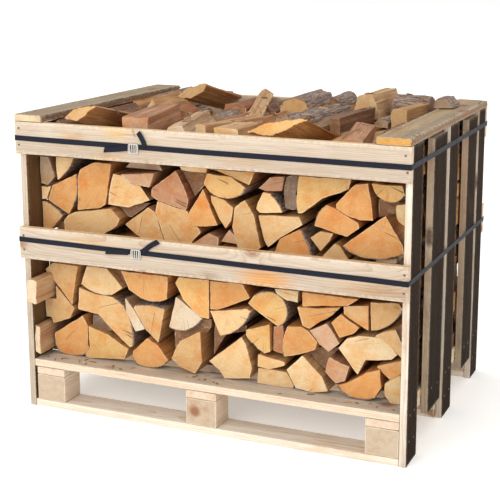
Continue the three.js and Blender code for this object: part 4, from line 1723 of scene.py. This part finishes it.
@dataclass
class Scraps:
    """Chips on the deck's front edge, splinters on the front slat and bark flakes on the pile.

    Places in the splinters' lines are millimetres in X and Z. The clearances are metres.
    """

    finishes: Sequence[bpy.types.Material]
    count: int = 22
    flakes: int = 170
    end_clear: float = 0.05
    edge_clear: float = 0.012
    pile_inset: float = 0.1
    drop_height: float = 1.2
    least_level: float = 0.6
    least_rise: float = 0.6
    splinters: tuple[tuple[Corner, Corner], ...] = (((-207, 893), (-219, 936)), ((-214, 905), (-207, 927)),
                                                    ((-146, 915), (-121, 921)), ((64, 913), (48, 934)))
    tones: tuple[Tone, ...] = (Tone.WHITISH, Tone.GREY, Tone.WEATHERED, Tone.BARK)

    def build(self) -> None:
        """Strews the chips on the deck, and hangs splinters on the front slat."""
        draw = random.Random(31)
        draft = Draft()
        low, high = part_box("deck_board_1")
        rank_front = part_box("front_log_rank")[0].y
        for number in range(self.count):
            at = Vector((draw.uniform(low.x + self.end_clear, high.x - self.end_clear),
                         draw.uniform(low.y + self.edge_clear, rank_front - self.edge_clear),
                         high.z + 0.3 * MM))
            self.chip(draft, at, draw, number)
        for number, line in enumerate(self.splinters):
            self.splinter(draft, line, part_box("front_top_slat")[0].y, number)
        draft.piece("wood_chips", self.finishes, "split_wood")

    def splinter(self, draft: Draft, line: tuple[Corner, Corner], face: float, number: int) -> None:
        """A thin pale splinter between two places in X and Z, caught on the front slat's face."""
        (x0, z0), (x1, z1) = line
        section = [(-1.3, -0.8), (1.3, -0.8), (0.9, 0.9), (-0.9, 0.7)]
        near = np.array([(x0 + a, 1000 * face - 1.4 + b, z0) for a, b in section]) * MM
        far = np.array([(x1 + 0.3 * a, 1000 * face - 4.0 + 0.3 * b, z1) for a, b in section]) * MM
        LogForm(near=near, far=far, seed=4100 + number, tone=Tone.WHITISH.linear, spacing=2 * MM,
                step=5 * MM, chamfer=0.2 * MM, inset=0.05 * MM, roughness=0.1, end_rings=2).add_to(draft)

    def strew_pile(self) -> None:
        """Drops bark flakes and chips on the pile: each lies flat on what is under it."""
        draw = random.Random(57)
        draft = Draft()
        bpy.context.view_layer.update()
        graph = bpy.context.evaluated_depsgraph_get()
        low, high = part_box("front_log_rank")[0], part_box("rear_log_rank")[1]
        for number in range(self.flakes):
            above = Vector((draw.uniform(low.x + self.pile_inset, high.x - self.pile_inset),
                            draw.uniform(low.y, high.y - self.end_clear), self.drop_height))
            hit, place, normal, _, _, _ = bpy.context.scene.ray_cast(graph, above, Vector((0, 0, -1)))
            if hit and normal.z > self.least_level and place.z > low.z + self.least_rise:
                self.chip(draft, place + normal * 0.2 * MM, draw, 200 + number, normal,
                          draw.uniform(1.0, 1.9))
        draft.piece("pile_flakes", self.finishes, "bark_wood")

    def chip(self, draft: Draft, at: Vector, draw: random.Random, number: int,
             up: Vector = Vector((0, 0, 1)), size: float = 1.0) -> None:
        """One flat splinter lying at a place.

        Args:
            draft: where it goes.
            at: its middle's underside.
            draw: where its size and turn come from.
            number: its own number, for its irregularities.
            up: the direction that its upper face looks.
            size: how much bigger than the smallest kind it is.
        """
        angle = draw.uniform(0, math.pi)
        first = up.orthogonal().normalized()
        second = up.cross(first)
        run = (first * math.cos(angle) + second * math.sin(angle)) * draw.uniform(5, 14) * MM * size
        across = (second * math.cos(angle) - first * math.sin(angle)) * draw.uniform(1.2, 4.0) * MM * size
        thick = up * draw.uniform(1.0, 2.8) * MM * size
        near = [at - run - across, at - run + across, at - run + across * 0.6 + thick,
                at - run - across * 0.7 + thick]
        far = [p + run * 2 - across * (0.3 if i in (1, 2) else 0.0) for i, p in enumerate(near)]
        LogForm(near=np.array([tuple(p) for p in near]), far=np.array([tuple(p) for p in far]),
                seed=4000 + number, tone=draw.choice(self.tones).linear, spacing=2 * MM, step=5 * MM,
                chamfer=0.3 * MM, inset=0.1 * MM, roughness=0.15, end_rings=2).add_to(draft)


# ---- Studio ------------------------------------------------------------------------------------
@dataclass
class Studio:
    """The camera, the pale floor and the soft lights."""

    camera_at: tuple[float, float, float] = (1.4555, -3.3874, 1.4094)
    camera_turn: tuple[float, float, float] = (78.27, -0.12, 22.42)
    lens: float = 84.05
    shift: tuple[float, float] = (-0.059, -0.105)
    floor_size: float = 60.0
    daylight: tuple[float, float, float, float] = (1.0, 0.99, 0.975, 1.0)
    lamp_colour: Colour = (1.0, 0.975, 0.94)

    def build(self) -> None:
        """Sets up everything round the crate."""
        camera = bpy.data.cameras.new("camera")
        camera.lens = self.lens
        camera.shift_x, camera.shift_y = self.shift
        holder = bpy.data.objects.new("camera", camera)
        holder.location = self.camera_at
        holder.rotation_euler = [math.radians(a) for a in self.camera_turn]
        bpy.context.scene.collection.objects.link(holder)
        bpy.context.scene.camera = holder
        self.lay_floor()
        self.hang_light("key_light", (-0.7, -4.8, 3.2), (0.0, -0.2, 0.5), 2.4, 96)
        self.hang_light("front_light", (0.5, -4.8, 1.5), (0.0, 0.0, 0.5), 2.6, 20)
        world = bpy.data.worlds.new("pale_surround")
        world.use_nodes = True
        background = world.node_tree.nodes["Background"]
        background.inputs[0].default_value = self.daylight
        background.inputs[1].default_value = 1.0
        bpy.context.scene.world = world
        bpy.context.scene.view_settings.view_transform = "Standard"

    def lay_floor(self) -> None:
        """Makes the floor."""
        half = self.floor_size / 2
        mesh = bpy.data.meshes.new("studio_floor")
        corners = [(-half, -half, 0), (half, -half, 0), (half, half, 0), (-half, half, 0)]
        mesh.from_pydata(corners, [], [(0, 1, 2, 3)])
        mesh.materials.append(FloorPaint().build())
        floor = bpy.data.objects.new("studio_floor", mesh)
        bpy.context.scene.collection.objects.link(floor)

    def hang_light(self, name: str, at: tuple[float, float, float], towards: tuple[float, float, float],
                   size: float, power: float) -> None:
        """Hangs one soft square light.

        Args:
            name: its name.
            at: its place.
            towards: the point it shines at.
            size: the side of its square.
            power: its power in watts.
        """
        light = bpy.data.lights.new(name, "AREA")
        light.size = size
        light.energy = power
        light.color = self.lamp_colour
        lamp = bpy.data.objects.new(name, light)
        lamp.location = at
        lamp.rotation_euler = (Vector(towards) - Vector(at)).to_track_quat("-Z", "Y").to_euler()
        bpy.context.scene.collection.objects.link(lamp)


UPPER_TAILS = (
    [(-180, 862, 1.0), (-176, 874, 2.4), (-184, 892, 3.5), (-193, 908, 5.0)],
    [(-232, 858, 0.9), (-262, 854, 1.6), (-309, 849, 3.0)],
)
LOWER_TAILS = (
    [(-196, 548, 1.0), (-182, 557, 2.4), (-160, 574, 3.0), (-134, 589, 5.0)],
    [(-238, 545, 0.9), (-272, 543, 1.6), (-313, 541, 3.0)],
)
FRONT_TOPS = ((28, 134, 878), (140, 206, 832), (210, 273, 834), (279, 352, 860), (355, 432, 862),
              (436, 520, 858), (524, 610, 862), (614, 672, 860), (676, 732, 861), (736, 806, 824),
              (810, 880, 826), (884, 944, 825), (950, 1022, 860), (1026, 1102, 862), (1110, 1216, 880))
REAR_TOPS = ((28, 140, 876), (144, 268, 878), (274, 334, 855), (338, 398, 856), (404, 510, 878),
             (514, 620, 876), (624, 740, 879), (744, 850, 877), (854, 960, 879), (964, 1080, 877),
             (1084, 1216, 879))


def main() -> None:
    """Builds the crate piece by piece, then the studio."""
    logging.basicConfig(level=logging.INFO, format="%(name)s %(message)s")
    sawn = {finish.name: finish.build() for finish in (
        SawnWood("pale_pine"),
        # shaded_pine: a darker copy of the sawn pine for the side boards; its near-black dirt colour and dark
        # knots are painted shade.
        SawnWood("shaded_pine", ring_share=0.5, knot_size=0.17, stain_least=0.5, stain="b58a62",
                 dirt_and_shade_least=0.52, dirt_and_shade="42352a", knot="3b2718", wear=0.15, gloss=0.06,
                 grain_depth=0.0012),
        SawnWood("grey_pine", ring_share=0.5, stain_least=0.5, stain="b49a70", dirt_and_shade_least=0.42,
                 dirt_and_shade="857a6b", grain_depth=0.0012))}
    wood = [CutEnd().build(), SplitFace().build(), Bark().build()]
    strapping = Strapping().build()
    wire = Metal("galvanised_wire", "c8c5be", "a9a8a4", 0.55, 0.5).build()
    iron = Metal("nail_iron", "6e675f", "4a3426", 0.5, 0.4).build()
    Carpentry(sawn).build()
    LogRank("front_log_rank", "front", -1, 11, wood, FRONT_TOPS).build()
    LogRank("rear_log_rank", "rear", 1, 23, wood, REAR_TOPS).build()
    for number, tone in enumerate(TOP_TONES, 1):
        LooseLog(f"top_log_{number:02d}", tone, 300 + number, wood, number in BARK_UP).build()
    Bed(wood).build()
    LooseLog("proud_log", Tone.WHITISH, 341, wood).build()
    LooseLog("proud_stick", Tone.WHITISH, 342, wood).build()
    Strap("upper_strap", (866, 861, 862, 862), -1.5, UPPER_TAILS, strapping).build()
    Strap("lower_strap", (550, 541, 536, 541), 0.5, LOWER_TAILS, strapping).build()
    WireBuckle("upper_buckle", wire).build()
    WireBuckle("lower_buckle", wire).build()
    Nails(iron).build()
    scraps = Scraps(wood)
    scraps.build()
    scraps.strew_pile()
    Studio().build()


if __name__ == "__main__":
    main()
